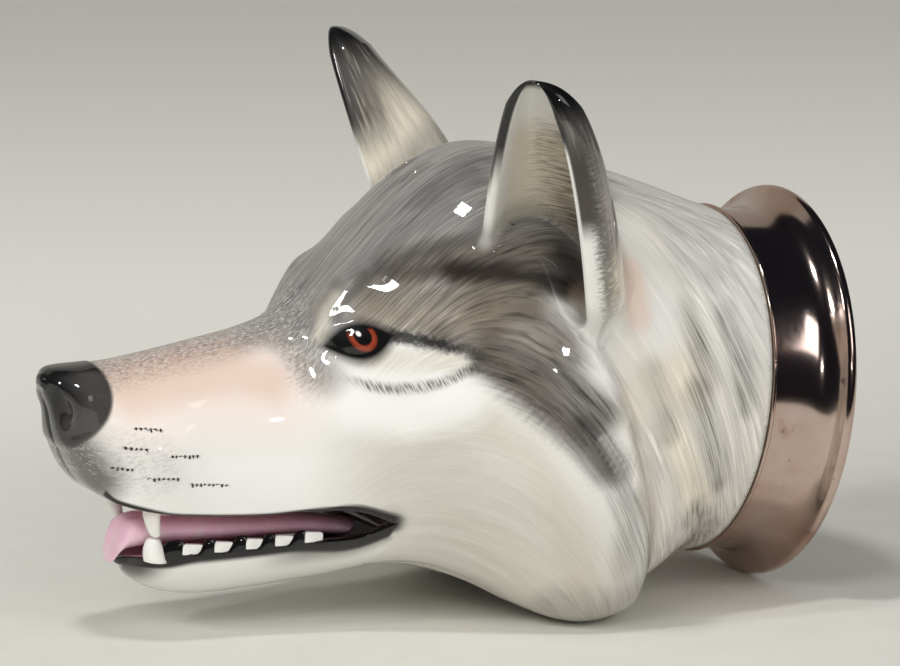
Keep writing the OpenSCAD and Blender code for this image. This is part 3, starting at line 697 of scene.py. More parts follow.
def flow_slope(s, arc):
    """How steeply the fur sweeps down as it runs back, at a distance from the crown's ridge."""
    onset = 12 + 24 * ease((s - 50) / 22)
    slope = 0.95 * ease((110 - s) / 14) + 0.6 * ease((64 - s) / 20)
    return slope * ease((arc - onset) / 26)


def flow_of(s, y, arc):
    """Distance along the lie of the fur, and the lane that a hair keeps to from the brow backwards."""
    step, front = 1.5, 126.0
    lane, ahead = arc.copy(), s.copy()
    for _ in range(int(front / step)):
        move = np.clip(front - ahead, 0, step)
        lane = np.maximum(lane - flow_slope(ahead, lane) * move, 0)
        ahead = ahead + move
    return np.stack([s * 1.15, lane, 0.25 * y], -1)


def flutes(flow):
    """Soft uneven ridges along the lie of the fur, between minus one and one."""
    u, v = flow[:, 0], flow[:, 1]
    ridge = 0 * v
    for pitch, phase, bend in ((9.0, 0.3, 0.020), (6.1, 1.9, 0.031), (4.3, 4.0, 0.043), (13.0, 2.2, 0.015)):
        ridge = ridge + np.sin(2 * math.pi * v / pitch + phase + 1.6 * np.sin(u * bend * 2 + phase))
    return ridge / 4


def fur_relief(form, s, y, h):
    """Height of the fluted fur on the ruff, the cheeks and the neck."""
    edge = form.ruff_edge(h)
    cheek = bell(s - 74, 20) * bell(h + 26, 18) * 0.8
    ruff = bell(s - edge - 5, 10) * ease((h + 46) / 10) * ease((20 - h) / 12) * 0.8
    neck = ease((edge - 4 - s) / 8) * ease((s - 20) / 10) * 0.2
    return (cheek + ruff + neck) * ease((y - 2) / 5)


# Paint
def blob(x, y, x0, y0, rx, ry, power):
    """A soft patch of paint: one in its middle and nothing well outside its radii."""
    a, b = (x - x0) / rx, (y - y0) / ry
    return np.exp(-(a * a + b * b) ** (power / 2))


def stroke(x, y, points, half, soft):
    """A soft brush stroke through points: one along its middle and nothing beyond its edges."""
    near = np.full(np.shape(x), 1e6)
    for (x0, y0), (x1, y1) in zip(points[:-1], points[1:]):
        dx, dy = x1 - x0, y1 - y0
        t = np.clip(((x - x0) * dx + (y - y0) * dy) / (dx * dx + dy * dy), 0, 1)
        near = np.minimum(near, np.hypot(x - x0 - t * dx, y - y0 - t * dy))
    return 1 - ease((near - half * (1 - soft)) / (half * 2 * soft))


def wash(base, tint, amount):
    """Lays a tint over the base colours by the amount at each point."""
    amount = np.clip(amount, 0, 1)[:, None]
    return base * (1 - amount) + np.asarray(tint) * amount


# Strokes of the coat from the first laid on to the last: colour, its shade, strength, half width in
# millimetres, how thick dark and light hairs lie in it, and its points: distance from the rim and height
COAT = [
    ("white", 0.80, 0.45, 9.0, 0.4, 0.4, [(43, 38), (34, 33), (26, 26), (22, 14)]),
    ("cream", 1.0, 0.80, 6.0, 0.1, 0.4, [(50, 33), (49, 24), (46, 13), (42, 4)]),
    ("cream", 1.0, 0.60, 3.0, 0.2, 0.5, [(57, 1), (53, -10), (49, -21), (45, -30)]),
    ("cream", 1.0, 0.80, 4.2, 0.2, 0.5, [(43, -7), (38, -16), (33, -22)]),
    ("slate", 1.7, 0.30, 2.6, 1.1, 0.4, [(41, 20), (38.5, 13), (36, 5)]),
    ("slate", 1.2, 0.32, 2.6, 1.2, 0.4, [(51, 8), (48, 1), (45, -6)]),
    ("slate", 1.2, 0.32, 3.0, 1.2, 0.4, [(39, 3), (34, -8), (29, -17)]),
    ("slate", 1.8, 0.30, 2.6, 1.1, 0.4, [(30, 20), (27, 10), (25, 0)]),
    ("slate", 1.6, 0.25, 3.0, 1.1, 0.4, [(33, -24), (28, -29), (24, -31)]),
    ("slate", 1.7, 0.30, 3.4, 0.9, 0.4, [(53, -21), (49.5, -33), (47, -40)]),
    ("slate", 1.1, 0.35, 1.2, 0.5, 0.4, [(105, 25), (98, 32), (90, 38)]),
    ("bistre", 1.0, 0.85, 6.5, 0.8, 0.5, [(86, 19), (79, 16), (73, 12)]),
    ("bistre", 1.1, 0.75, 3.2, 0.9, 0.5, [(101, 24), (94, 27), (86, 29.5), (76, 30.5)]),
    ("slate", 0.7, 0.60, 1.3, 0.8, 0.3, [(109, 20.5), (105, 23.5), (101.5, 26), (92, 30.5), (86, 32.5)]),
    ("umber", 1.0, 0.60, 1.8, 0.8, 0.4, [(104, 22), (97, 23.8), (90.8, 25)]),
    ("umber", 0.8, 0.95, 2.8, 0.6, 0.2, [(92, 25), (84, 25.6), (76, 25.3), (71, 24)]),
    ("umber", 0.7, 0.80, 3.6, 0.5, 0.2, [(71, 30), (67, 25)]),
    ("tan", 0.40, 0.85, 3.4, 0.9, 0.7, [(107, 18), (96, 18.8), (88.5, 19.3), (79, 20.5)]),
    ("tan", 0.62, 0.85, 3.2, 0.8, 0.7, [(109, 13.8), (102, 13.8), (95, 13.8), (86, 14.5)]),
    ("blush", 0.45, 0.55, 2.0, 0.4, 0.2, [(68, 22.5), (66, 20.5)]),
    ("bistre", 0.65, 0.85, 4.4, 0.9, 0.5, [(86, 11), (77.5, 6), (70, 2), (64, -2)]),
    ("bistre", 0.7, 0.90, 3.6, 0.9, 0.4, [(95, 9.5), (87, 7), (81, 3), (75, -2), (67.5, -7), (61, -13)]),
    ("slate", 0.75, 0.75, 3.0, 0.9, 0.5, [(67, -5), (62, -10), (59, -14)]),
    ("white", 0.7, 0.45, 0.9, 0.3, 0.6, [(63, -7), (57, -15), (54, -22)]),
    ("slate", 2.2, 0.45, 2.6, 0.9, 0.6, [(58, -17), (55, -25), (54, -35)]),
    ("tan", 0.9, 0.45, 1.2, 0.3, 0.4, [(56, -4), (53.5, -12), (51.5, -22)]),
    ("white", 0.95, 0.95, 5.6, 0.0, 0.1, [(61, 15), (53, 15), (49.5, 19)]),
    ("white", 0.95, 0.65, 5.0, 0.1, 0.2, [(51, 34), (47, 26), (46, 16)]),
    ("cream", 1.1, 0.40, 4.6, 0.1, 0.2, [(55, 12), (53, 6), (51, 1)]),
    ("blush", 1.0, 0.55, 3.4, 0.0, 0.0, [(54, 27), (53.5, 23), (53, 19)]),
    # The first cream stroke here gives the cheek its yellowish tint. The broad dull one after it is painted
    # shade for the half-shade on the lower cheek and jowl, besides their cream tint.
    ("cream", 0.9, 0.50, 4.0, 0.1, 0.1, [(89, -4), (77, -12), (68, -26), (63, -41)]),
    ("cream", 0.66, 0.70, 15.0, 0.1, 0.1, [(98, -16), (84, -26), (72, -36), (63, -45)]),
    ("slate", 2.2, 0.35, 4.0, 0.4, 0.3, [(66, -44), (58, -45), (49, -41)]),
    ("white", 0.84, 0.95, 2.4, 0.2, 0.2, [(110, 4.5), (100, 6), (93, 7)]),
    ("cream", 0.90, 0.55, 2.0, 0.2, 0.2, [(108, 5), (100, 6), (93, 7)]),
    ("white", 1.0, 0.95, 4.6, 0.0, 0.0, [(112, -6), (102, -6), (92, -1.5)]),
    ("grey", 0.9, 0.80, 4.4, 0.0, 0.0, [(124, 9), (120, 6), (118, 1)]),
    ("grey", 1.2, 0.60, 2.6, 0.0, 0.0, [(160, -2), (149, 1), (135.5, 4.5), (123, 9)]),
    ("blush", 1.0, 0.35, 9.0, 0.0, 0.0, [(156, -8), (146, -5.5), (134, -4), (127, -4)]),
    ("blush", 0.85, 0.60, 4.4, 0.0, 0.0, [(157, -6), (147, -3), (135, -0.5), (128, -1.5)]),
    ("grey", 1.5, 0.25, 5.0, 0.0, 0.0, [(160, -20), (152, -21)]),
    ("slate", 1.0, 0.90, 4.6, 0.2, 0.1, [(171, -17), (167, -21), (163, -25.5)]),
]

# Strokes on the brow, which keep clear of the middle of the forehead
BROW = [
    ("cream", 0.80, 0.55, 1.2, 0.1, 0.3, [(116.8, 8), (116, 13), (113.8, 17)]),
    ("slate", 0.9, 0.60, 0.8, 0.2, 0.1, [(114.2, 12), (112, 17), (107.5, 22)]),
    ("slate", 1.0, 0.45, 0.8, 0.2, 0.1, [(118.4, 9), (116.8, 14), (113, 20)]),
    ("slate", 1.0, 0.40, 1.8, 0.6, 0.3, [(97, 38), (91, 42), (84, 45)]),
]


def coat_paint(form, tint, s, y, h, arc, lane):
    """Base colours of the coat, and how thick dark hairs, light hairs and specks lie on it."""
    neck = ease((form.ruff_edge(h) + 1 - s) / 7)
    brow = 18 + 0.08 * np.maximum(100 - s, 0) - 0.75 * np.maximum(s - 100, 0)
    rear_fade = 0.15 + 0.85 * ease((s - 30 - 3 * np.sin(0.9 * lane)) / 36)
    crown = ease((h - brow) / 8) * ease((128 - s) / 8) * rear_fade
    ridge = ease((15 - arc) / 9) * ease((s - 106) / 8)
    base = np.tile(tint.white, (len(s), 1))
    base = wash(base, tint.fawn, 0.5 * neck)
    base = wash(base, tint.grey, 0.95 * crown)
    base = wash(base, tint.grey * 1.1, 0.85 * ridge)
    dark = np.maximum(0.7 * crown, 0.45 * neck)
    light = np.maximum(0.8 * crown, 0.5 * neck)
    off = 0.4 * np.sin(2.6 * lane + 0.35 * s) + 0.3 * np.sin(4.1 * lane - 0.27 * s + 1.0)
    ragged = h + off * ease((112 - s) / 10) * ease((s - 68) / 8)
    clear = ease((y - 8) / 5)
    for k, (name, shade, strength, half, hairs, pale, points) in enumerate(COAT + BROW):
        amount = stroke(s, ragged, points, half, 0.75) * (clear if k >= len(COAT) else 1.0)
        base = wash(base, getattr(tint, name) * shade, strength * amount)
        dark = dark * (1 - amount) + hairs * amount
        light = light * (1 - amount) + pale * amount
    speck = np.maximum(ease((15 - arc) / 11) * ease((s - 112) / 8), 0.9 * blob(s, h, 120, 4, 5, 8, 3))
    speck = np.maximum(speck, 0.45 * blob(s, h, 156, -21, 9, 7, 3))
    speck = np.maximum(speck, 0.8 * blob(s, h, 168, -21, 6, 6, 3))
    return base, dark, light, speck


def head_paint(form, tint, s, y, h, arc, lane, lip, jaw, inside):
    """The coat with the nose leather, the lips, the gums and the mouth painted over it."""
    base, dark, light, speck = coat_paint(form, tint, s, y, h, arc, lane)
    base = np.where((jaw > 0.5)[:, None], tint.white, base)
    leather = ease((s - nose_edge(h)) / 1.2) * ease((h + 21) / 3.5) * (jaw < 0.5)
    base = wash(base, tint.black * 1.3, leather)
    # Grey over the top and side of the nose leather: brushed paint, and painted sheen where the top of the
    # satin black catches the light.
    brushed_grey_and_sheen = stroke(s, h, [(165, -3), (163.5, -8), (166, -14)], 4.0, 0.9) * ease((y - 4) / 3)
    base = wash(base, tint.slate * 0.9, 0.8 * leather * brushed_grey_and_sheen)

    # Lips, gums and the inside of the mouth
    thin = 0.35 + 0.5 * ease((s - 146) / 8) + 1.7 * ease((126 - s) / 24)
    line = (jaw < 0.5) * ease((thin + 0.5 - np.abs(lip)) / 0.6) * ease((s - form.mouth_at + 2) / 3)
    base = wash(base, tint.black, line * (inside < 1.5) * (s < LIP_END))
    band = 2.1 + 1.0 * ease((s - 138) / 8) + 1.6 * ease((120 - s) / 12)
    gum = (jaw > 0.5) * ease((band + 0.6 - lip) / 1.4) * (lip > -2.8)
    smudge = (jaw > 0.5) * blob(s, h, 153, -44, 7, 4.5, 4)
    faded = (jaw > 0.5) * ease((8.5 - lip) / 7) * ease((128 - s) / 14) * 0.8
    base = wash(base, tint.slate * 0.8, faded)
    base = wash(base, tint.black, np.maximum(gum, 0.95 * smudge))
    corner = bell(np.hypot(s - form.mouth_at - 1, lip), 2.6) * (inside < 1.5)
    base = wash(base, tint.black, 0.85 * corner)
    mouth = (inside > 0.5) * (inside < 1.5) * (lip < -0.6)
    base = wash(base, tint.palate, mouth)
    base = wash(base, tint.mouth_red, 0.75 * mouth * ease((133 - s) / 14))
    base = wash(base, tint.black, 0.95 * mouth * ease((116 - s) / 6))
    base = wash(base, tint.white, (inside > 1.5).astype(float))
    keep = (inside < 0.5) * (1 - leather) * (jaw < 0.5) * (1 - line)
    return base, dark * keep, light * keep, speck * keep


# Shaders
class Shader:
    """Builds a node material step by step."""

    def __init__(self, name):
        self.material = bpy.data.materials.new(name)
        self.material.use_nodes = True
        self.tree = self.material.node_tree
        self.body = self.tree.nodes["Principled BSDF"]

    def node(self, kind, **settings):
        made = self.tree.nodes.new(kind)
        for key, value in settings.items():
            setattr(made, key, value)
        return made

    def feed(self, socket, value):
        """Links another socket to this one, or sets a plain number or colour on it."""
        if isinstance(value, bpy.types.NodeSocket):
            self.tree.links.new(value, socket)
        elif hasattr(value, "__len__") and len(value) == 3 and socket.type == "RGBA":
            socket.default_value = (*value, 1.0)
        else:
            socket.default_value = value

    def attribute(self, name):
        return self.node("ShaderNodeAttribute", attribute_name=name).outputs["Vector"]

    def place(self):
        return self.node("ShaderNodeTexCoord").outputs["Object"]

    def parts(self, vector):
        made = self.node("ShaderNodeSeparateXYZ")
        self.feed(made.inputs[0], vector)
        return made.outputs[0], made.outputs[1], made.outputs[2]

    def math(self, operation, a, b=0.0):
        made = self.node("ShaderNodeMath", operation=operation)
        self.feed(made.inputs[0], a)
        self.feed(made.inputs[1], b)
        return made.outputs[0]

    def times(self, a, b):
        return self.math("MULTIPLY", a, b)

    def plus(self, a, b):
        return self.math("ADD", a, b)

    def less(self, a, b):
        return self.math("SUBTRACT", a, b)

    def most(self, a, b):
        return self.math("MAXIMUM", a, b)

    def size(self, a):
        return self.math("ABSOLUTE", a)

    def scaled(self, vector, x, y, z, shift=(0.0, 0.0, 0.0)):
        made = self.node("ShaderNodeMapping")
        self.feed(made.inputs["Vector"], vector)
        made.inputs["Scale"].default_value = (x, y, z)
        made.inputs["Location"].default_value = shift
        return made.outputs[0]

    def noise(self, vector, scale=1.0, detail=2.0, rough=0.5):
        made = self.node("ShaderNodeTexNoise")
        self.feed(made.inputs["Vector"], vector)
        made.inputs["Scale"].default_value = scale
        made.inputs["Detail"].default_value = detail
        made.inputs["Roughness"].default_value = rough
        return made.outputs["Fac"]

    def step(self, value, low, high):
        """A smooth rise from nothing at low to one at high."""
        made = self.node("ShaderNodeMapRange", interpolation_type="SMOOTHSTEP")
        self.feed(made.inputs["Value"], value)
        self.feed(made.inputs["From Min"], low)
        self.feed(made.inputs["From Max"], high)
        return made.outputs["Result"]

    def mix(self, amount, a, b):
        made = self.node("ShaderNodeMix", data_type="RGBA")
        self.feed(made.inputs["Factor"], amount)
        self.feed(made.inputs["A"], a)
        self.feed(made.inputs["B"], b)
        return made.outputs["Result"]

    def bump(self, height, distance, strength=1.0):
        made = self.node("ShaderNodeBump")
        made.inputs["Strength"].default_value = strength
        made.inputs["Distance"].default_value = distance
        self.feed(made.inputs["Height"], height)
        return made.outputs["Normal"]

    def set(self, **inputs):
        """Feeds inputs of the surface shader, named in small letters."""
        for key, value in inputs.items():
            self.feed(self.body.inputs[key.replace("_", " ").title().replace("Ior", "IOR")], value)


def glaze(shader, base):
    """A clear glaze over painted porcelain."""
    shader.set(base_color=base, roughness=0.5, specular_ior_level=0.15)
    shader.set(coat_weight=1.0, coat_roughness=0.035)


def hair(shader, flow, long, fine, seed, low, high):
    """Strokes of a fine brush along the fur: their length, and how many lie across a millimetre."""
    noise = shader.noise(shader.scaled(flow, 1 / long, fine, 0.5, (seed, seed, 0)), 1.0, 2.0, 0.55)
    return shader.step(noise, low, high)


def coat(sh, tint):
    """The colour of the fur: the painted base, with dark and light hairs and specks over it."""
    flow = sh.attribute("flow")
    dark, light, speck = sh.parts(sh.attribute("marks"))
    lock = sh.times(hair(sh, flow, 26.0, 0.42, 5.0, 0.44, 0.64), 0.20)
    thick = sh.times(hair(sh, flow, 13.0, 1.5, 3.0, 0.48, 0.66), 0.32)
    thin = sh.times(hair(sh, flow, 9.0, 3.0, 9.0, 0.48, 0.64), 0.36)
    deep = sh.times(dark, sh.plus(lock, sh.plus(thick, thin)))
    sheen = sh.times(hair(sh, flow, 22.0, 0.55, 17.0, 0.48, 0.68), 0.26)
    wisp = sh.times(hair(sh, flow, 10.0, 2.4, 11.0, 0.52, 0.68), 0.55)
    lift = sh.times(light, sh.plus(sheen, wisp))
    level = sh.times(sh.less(1.0, deep), sh.plus(1.0, lift))
    colour = sh.node("ShaderNodeVectorMath", operation="SCALE")
    sh.feed(colour.inputs[0], sh.attribute("paint"))
    sh.feed(colour.inputs["Scale"], level)
    colour = colour.outputs[0]
    dots = sh.step(sh.noise(sh.scaled(flow, 0.7, 1.7, 0.8), 1.0, 3.0, 0.65), 0.48, 0.60)
    colour = sh.mix(sh.times(dots, sh.times(speck, 0.50)), colour, tint.slate)
    flecks = sh.step(sh.noise(sh.scaled(flow, 0.9, 1.8, 0.8, (7, 3, 0)), 1.0, 3.0, 0.65), 0.52, 0.62)
    return sh.mix(sh.times(flecks, sh.times(speck, 0.45)), colour, tint.white)


def porcelain(tint):
    """The painted and glazed head."""
    sh = Shader("painted_porcelain")
    s, _, h = sh.parts(sh.attribute("spot"))
    along, across, side = sh.parts(sh.attribute("eye"))
    colour = whiskers(sh, coat(sh, tint), tint, s, h)
    colour = painted_eye(sh, colour, tint, along, across, side, s, h)
    glaze(sh, colour)
    return sh.material


# Rows of whisker dots: their rear and front ends, height, slope and number of dots
WHISKER_ROWS = [(151, 157, -13.2, 0.02, 6), (154, 159, -17.4, 0.02, 5), (143, 149.5, -18.2, 0.06, 7),
                (156.5, 161, -22.0, 0.02, 5), (147, 154, -23.2, 0.06, 7), (136, 144.5, -24.2, 0.02, 9)]


def whiskers(sh, colour, tint, s, h):
    """Uneven rows of small painted dots where the whiskers grow."""
    shake = sh.less(sh.noise(sh.attribute("spot"), 0.9, 2.0), 0.5)
    for back, front, height, lean, count in WHISKER_ROWS:
        t = sh.math("DIVIDE", sh.less(s, back), front - back)
        beat = sh.math("PINGPONG", sh.plus(sh.times(t, count), shake), 0.5)
        line = sh.plus(sh.times(sh.less(s, back), -lean), height)
        off = sh.size(sh.less(sh.plus(h, sh.times(shake, 1.2)), line))
        size = sh.plus(0.26, sh.times(shake, 0.7))
        dot = sh.times(sh.step(beat, 0.10, 0.38), sh.step(sh.less(off, size), 0.16, -0.06))
        thread = sh.times(sh.step(off, 0.24, 0.05), 0.55)
        span = sh.times(sh.step(t, -0.06, 0.04), sh.step(t, 1.06, 0.94))
        colour = sh.mix(sh.times(sh.most(dot, thread), span), colour, tint.black)
    return colour


def painted_eye(sh, colour, tint, along, across, side, s, h):
    """Dark lids, a liner that runs back from them, lashes below, a red-brown iris and its pupil."""
    def square(value):
        return sh.times(value, value)

    up = sh.math("GREATER_THAN", across, 0.0)
    lid = sh.plus(EYE.low, sh.times(up, EYE.up - EYE.low))
    ends = square(sh.math("DIVIDE", along, EYE.half + 0.5))
    q = sh.plus(ends, sh.math("DIVIDE", sh.size(across), sh.plus(lid, 0.7)))
    soft = sh.times(sh.step(q, 1.65, 0.95), side)
    colour = sh.mix(sh.times(soft, 0.70), colour, tint.umber * 1.2)
    colour = sh.mix(sh.times(sh.step(q, 1.12, 0.80), side), colour, tint.black)

    # Liner behind the eye, from its corner back and slightly down
    run = sh.less(105.0, s)
    middle = sh.plus(10.4, sh.times(square(run), -0.008))
    wide = sh.less(1.5, sh.times(run, 0.035))
    ragged = sh.times(sh.less(sh.noise(sh.attribute("spot"), 1.1, 3.0), 0.5), 2.6)
    off = sh.less(sh.size(sh.less(sh.plus(h, ragged), middle)), wide)
    liner = sh.times(sh.step(off, 1.0, -1.0), sh.step(run, -2.5, 1.0))
    liner = sh.times(sh.times(liner, sh.step(run, 24.0, 9.0)), sh.step(s, 126.0, 112.0))
    colour = sh.mix(sh.times(liner, 0.9), colour, tint.black * 1.3)

    # A row of short slanting hairs below the pale stripe under the eye
    low = sh.plus(-0.6, sh.times(square(sh.less(107.0, s)), 0.022))
    from_row = sh.size(sh.less(h, low))
    slant = sh.less(s, sh.times(h, 0.45))
    comb = sh.node("ShaderNodeCombineXYZ")
    sh.feed(comb.inputs[0], sh.times(slant, 2.4))
    sh.feed(comb.inputs[1], sh.times(h, 0.3))
    lash = sh.step(sh.noise(comb.outputs[0], 1.0, 2.0), 0.40, 0.62)
    row = sh.times(sh.step(from_row, 1.9, 0.2), sh.step(s, 115.0, 109.0))
    row = sh.times(sh.times(row, sh.step(s, 86.0, 90.0)), sh.plus(0.35, lash))
    colour = sh.mix(sh.times(row, 0.62), colour, tint.slate * 0.7)

    # The iris stands high between the lids, with a large pupil and a catchlight
    iris_at = sh.math("DIVIDE", sh.plus(along, 0.5), EYE.round)
    radius = sh.math("SQRT", sh.plus(square(iris_at), square(sh.plus(across, -1.0))))
    disc = sh.times(sh.step(radius, 3.35, 2.95), sh.step(across, 2.7, 1.9))
    disc = sh.times(disc, side)
    ring = sh.mix(sh.step(radius, 2.2, 3.2), tint.iris, tint.iris * 0.5)
    colour = sh.mix(disc, colour, ring)
    pupil = sh.math("SQRT", sh.plus(square(iris_at), square(sh.plus(across, -1.3))))
    colour = sh.mix(sh.times(sh.step(pupil, 2.25, 1.75), side), colour, tint.black)
    glint_at = sh.plus(iris_at, -0.75)
    glint = sh.math("SQRT", sh.plus(square(glint_at), square(sh.plus(across, -1.9))))
    return sh.mix(sh.times(sh.step(glint, 0.70, 0.35), side), colour, tint.white)


def ear_glaze(tint):
    """Pale with fine brush strokes in the hollow, dark outside, with a black tip and a white fringe."""
    sh = Shader("painted_ear")
    t, turn, out = sh.parts(sh.attribute("ear"))
    lie = sh.attribute("lie")
    blend = sh.parts(lie)[2]

    def shaken(wide, high, amount):
        grain = sh.less(sh.noise(sh.scaled(lie, wide, high, 0.0), 1.0, 2.0), 0.5)
        return sh.plus(turn, sh.times(grain, amount))

    # The hollow: white above, cream in front, strokes of brown hair towards the rear edge and the root
    turned = shaken(0.25, 1.4, 0.5)
    inner = sh.mix(sh.step(turned, -0.60, 0.20), tint.cream, tint.tan)
    inner = sh.mix(sh.times(sh.step(turned, 0.05, 0.65), 0.85), inner, tint.umber * 1.6)
    low = sh.times(sh.step(t, 0.50, 0.28), sh.step(turned, -0.65, 0.25))
    inner = sh.mix(sh.times(low, 0.75), inner, tint.umber * 1.5)
    lash = sh.step(sh.noise(sh.scaled(lie, 0.13, 1.7, 0.0), 1.0, 2.0, 0.6), 0.47, 0.59)
    inner = sh.mix(sh.times(sh.times(lash, 0.75), sh.step(turn, -0.85, 0.25)), inner, tint.umber * 1.5)
    pale = sh.step(sh.noise(sh.scaled(lie, 0.12, 2.0, 0.0, (5, 8, 0)), 1.0, 2.0, 0.6), 0.54, 0.68)
    inner = sh.mix(sh.times(pale, 0.40), inner, tint.cream)
    top = sh.times(sh.step(t, 0.66, 0.86), sh.step(turned, 0.75, 0.30))
    inner = sh.mix(sh.times(top, 0.85), inner, tint.white)
    inner = sh.mix(sh.times(sh.step(turned, -0.70, -0.92), 0.85), inner, tint.white)

    # Outside: dark towards the tip and both edges, cream low on the back
    swept = shaken(0.9, 0.10, 0.35)
    outer = sh.mix(sh.step(t, 0.52, 0.86), tint.cream, tint.slate * 0.75)
    outer = sh.mix(sh.times(sh.step(swept, -0.35, -0.95), sh.step(t, 0.38, 0.62)), outer, tint.slate * 0.75)
    strip = sh.times(sh.step(swept, 0.15, 0.50), sh.step(t, 0.22, 0.36))
    outer = sh.mix(strip, outer, sh.mix(sh.step(t, 0.50, 0.85), tint.slate * 3.8, tint.slate * 1.1))
    brush = sh.step(sh.noise(sh.scaled(lie, 1.3, 0.08, 0.0), 1.0, 2.0, 0.6), 0.45, 0.68)
    outer = sh.mix(sh.times(brush, 0.22), outer, tint.slate * 0.6)
    streak = sh.step(sh.noise(sh.scaled(lie, 1.0, 0.07, 0.0, (9, 4, 0)), 1.0, 2.0, 0.6), 0.52, 0.72)
    outer = sh.mix(sh.times(streak, 0.30), outer, tint.cream)
    colour = sh.mix(sh.step(out, 0.4, 0.6), inner, outer)

    # Edges: black round the tip and the upper half, a thin white fringe low on the rear edge
    rim = sh.less(1.0, sh.size(sh.less(sh.times(out, 2.0), 1.0)))
    edged = shaken(0.6, 1.8, 0.22)
    shade = sh.times(sh.step(edged, 0.66, 0.86), sh.step(t, 0.90, 0.70))
    colour = sh.mix(sh.times(shade, 0.9), colour, tint.umber)
    folded = sh.times(sh.step(rim, 0.1, 0.3), sh.step(turn, 0.6, 0.8))
    fringe = sh.times(sh.most(sh.step(edged, 0.93, 0.97), folded), sh.step(t, 0.84, 0.74))
    colour = sh.mix(sh.times(fringe, sh.step(out, 0.86, 0.70)), colour, tint.white)
    foot = sh.times(sh.times(sh.step(edged, 0.78, 0.95), sh.step(t, 0.50, 0.38)), sh.step(out, 0.4, 0.6))
    colour = sh.mix(foot, colour, tint.white)
    front = sh.times(sh.step(rim, 0.1, 0.5), sh.step(turn, 0.0, -0.5))
    colour = sh.mix(sh.times(front, sh.step(t, 0.60, 0.42)), colour, tint.white)
    border = sh.times(sh.step(rim, 0.0, 0.4), sh.step(t, 0.50, 0.72))
    border = sh.times(border, sh.most(sh.step(turn, 0.0, -0.3), sh.step(t, 0.74, 0.84)))
    colour = sh.mix(border, colour, tint.black)
    colour = sh.mix(sh.times(sh.step(out, 0.3, 0.7), sh.step(t, 0.80, 0.95)), colour, tint.black)
    colour = sh.mix(sh.step(t, 0.94, 0.985), colour, tint.black)
    colour = sh.mix(blend, colour, coat(sh, tint))
    glaze(sh, colour)
    return sh.material


def tongue_glaze(tint):
    """Glossy pink, deeper towards the throat."""
    sh = Shader("tongue_glaze")
    x, y, _ = sh.parts(sh.place())
    fade = sh.step(x, -0.060, -0.015)
    cloud = sh.noise(sh.place(), 220.0, 3.0)
    colour = sh.mix(fade, tint.tongue_pink, tint.tongue_pink * np.array([0.98, 0.84, 0.88]))
    colour = sh.mix(sh.times(sh.step(cloud, 0.4, 0.7), 0.25), colour, tint.white)
    middle = sh.times(sh.step(sh.size(y), 0.0042, 0.0018), sh.step(x, -0.056, -0.040))
    fleck = sh.step(sh.noise(sh.place(), 700.0, 3.0), 0.40, 0.60)
    colour = sh.mix(sh.times(middle, sh.times(fleck, 0.8)), colour, tint.mouth_red)
    glaze(sh, colour)
    return sh.material


def tooth_glaze(tint):
    """White glaze, faintly clouded."""
    sh = Shader("tooth_glaze")
    cloud = sh.noise(sh.place(), 400.0, 2.0)
    glaze(sh, sh.mix(sh.step(cloud, 0.4, 0.7), tint.tooth, tint.tooth * 0.92))
    return sh.material


def tarnished_silver(tint):
    """Polished silver under a warm uneven tarnish, with small pits."""
    sh = Shader("tarnished_silver")
    place = sh.place()
    cloud = sh.noise(place, 30.0, 5.0, 0.6)
    patch = sh.noise(place, 75.0, 4.0, 0.65)
    fine = sh.noise(place, 300.0, 3.0, 0.6)
    colour = sh.mix(sh.step(cloud, 0.36, 0.66), tint.silver, tint.silver * np.array([0.80, 0.68, 0.62]))
    stain = sh.times(sh.step(patch, 0.58, 0.72), 0.7)
    colour = sh.mix(stain, colour, tint.silver * np.array([0.62, 0.42, 0.33]))
    colour = sh.mix(sh.times(sh.step(fine, 0.66, 0.74), 0.6), colour, tint.umber)
    rough = sh.node("ShaderNodeMapRange")
    sh.feed(rough.inputs["Value"], cloud)
    rough.inputs["To Min"].default_value = 0.07
    rough.inputs["To Max"].default_value = 0.20
    sh.set(base_color=colour, metallic=1.0, roughness=rough.outputs["Result"])
    sh.set(normal=sh.bump(sh.noise(place, 120.0, 3.0), 0.0002, 0.22))
    return sh.material


def plain_cement(tint):
    """Matt cement, darkened as painted shade for the narrow gap at the seam."""
    sh = Shader("bedding_cement")
    grain = sh.noise(sh.place(), 900.0, 4.0)
    sh.set(base_color=sh.mix(grain, tint.cement, tint.cement * 0.7), roughness=0.9)
    sh.set(normal=sh.bump(grain, 0.0002, 0.6))
    return sh.material


def studio_paper(tint):
    """Matt pale paper, kept bright far behind the cup where it is seen or mirrored."""
    sh = Shader("studio_paper")
    y = sh.parts(sh.place())[1]
    fibre = sh.noise(sh.place(), 60.0, 5.0)
    colour = sh.mix(sh.step(fibre, 0.3, 0.7), tint.stage, tint.stage * 0.97)
    colour = sh.mix(sh.step(y, 0.0, 0.40), colour, tint.stage * 1.15)
    colour = sh.mix(sh.step(y, 0.42, 1.15), colour, tint.stage * 1.02)
    rays = sh.node("ShaderNodeLightPath").outputs
    seen = sh.most(rays["Is Camera Ray"], rays["Is Glossy Ray"])
    seen = sh.most(seen, rays["Is Transmission Ray"])
    lift = sh.times(sh.step(y, 0.05, 0.45), 0.115)
    sh.set(base_color=colour, roughness=0.85, emission_color=tint.stage)
    sh.set(emission_strength=sh.times(lift, seen))
    return sh.material


def dark_cloth(tint):
    """Dark cloth that the silver and the glaze mirror."""
    sh = Shader("dark_cloth")
    sh.set(base_color=tint.cloth, roughness=1.0, specular_ior_level=0.0)
    return sh.material


def setting(context):
    """The form of the head, the sizes in millimetres and the colours."""
    sizes = context.scene.stirrup_cup_sizes
    return HeadForm(sizes), in_mm(sizes), in_linear(context.scene.stirrup_cup_colours)


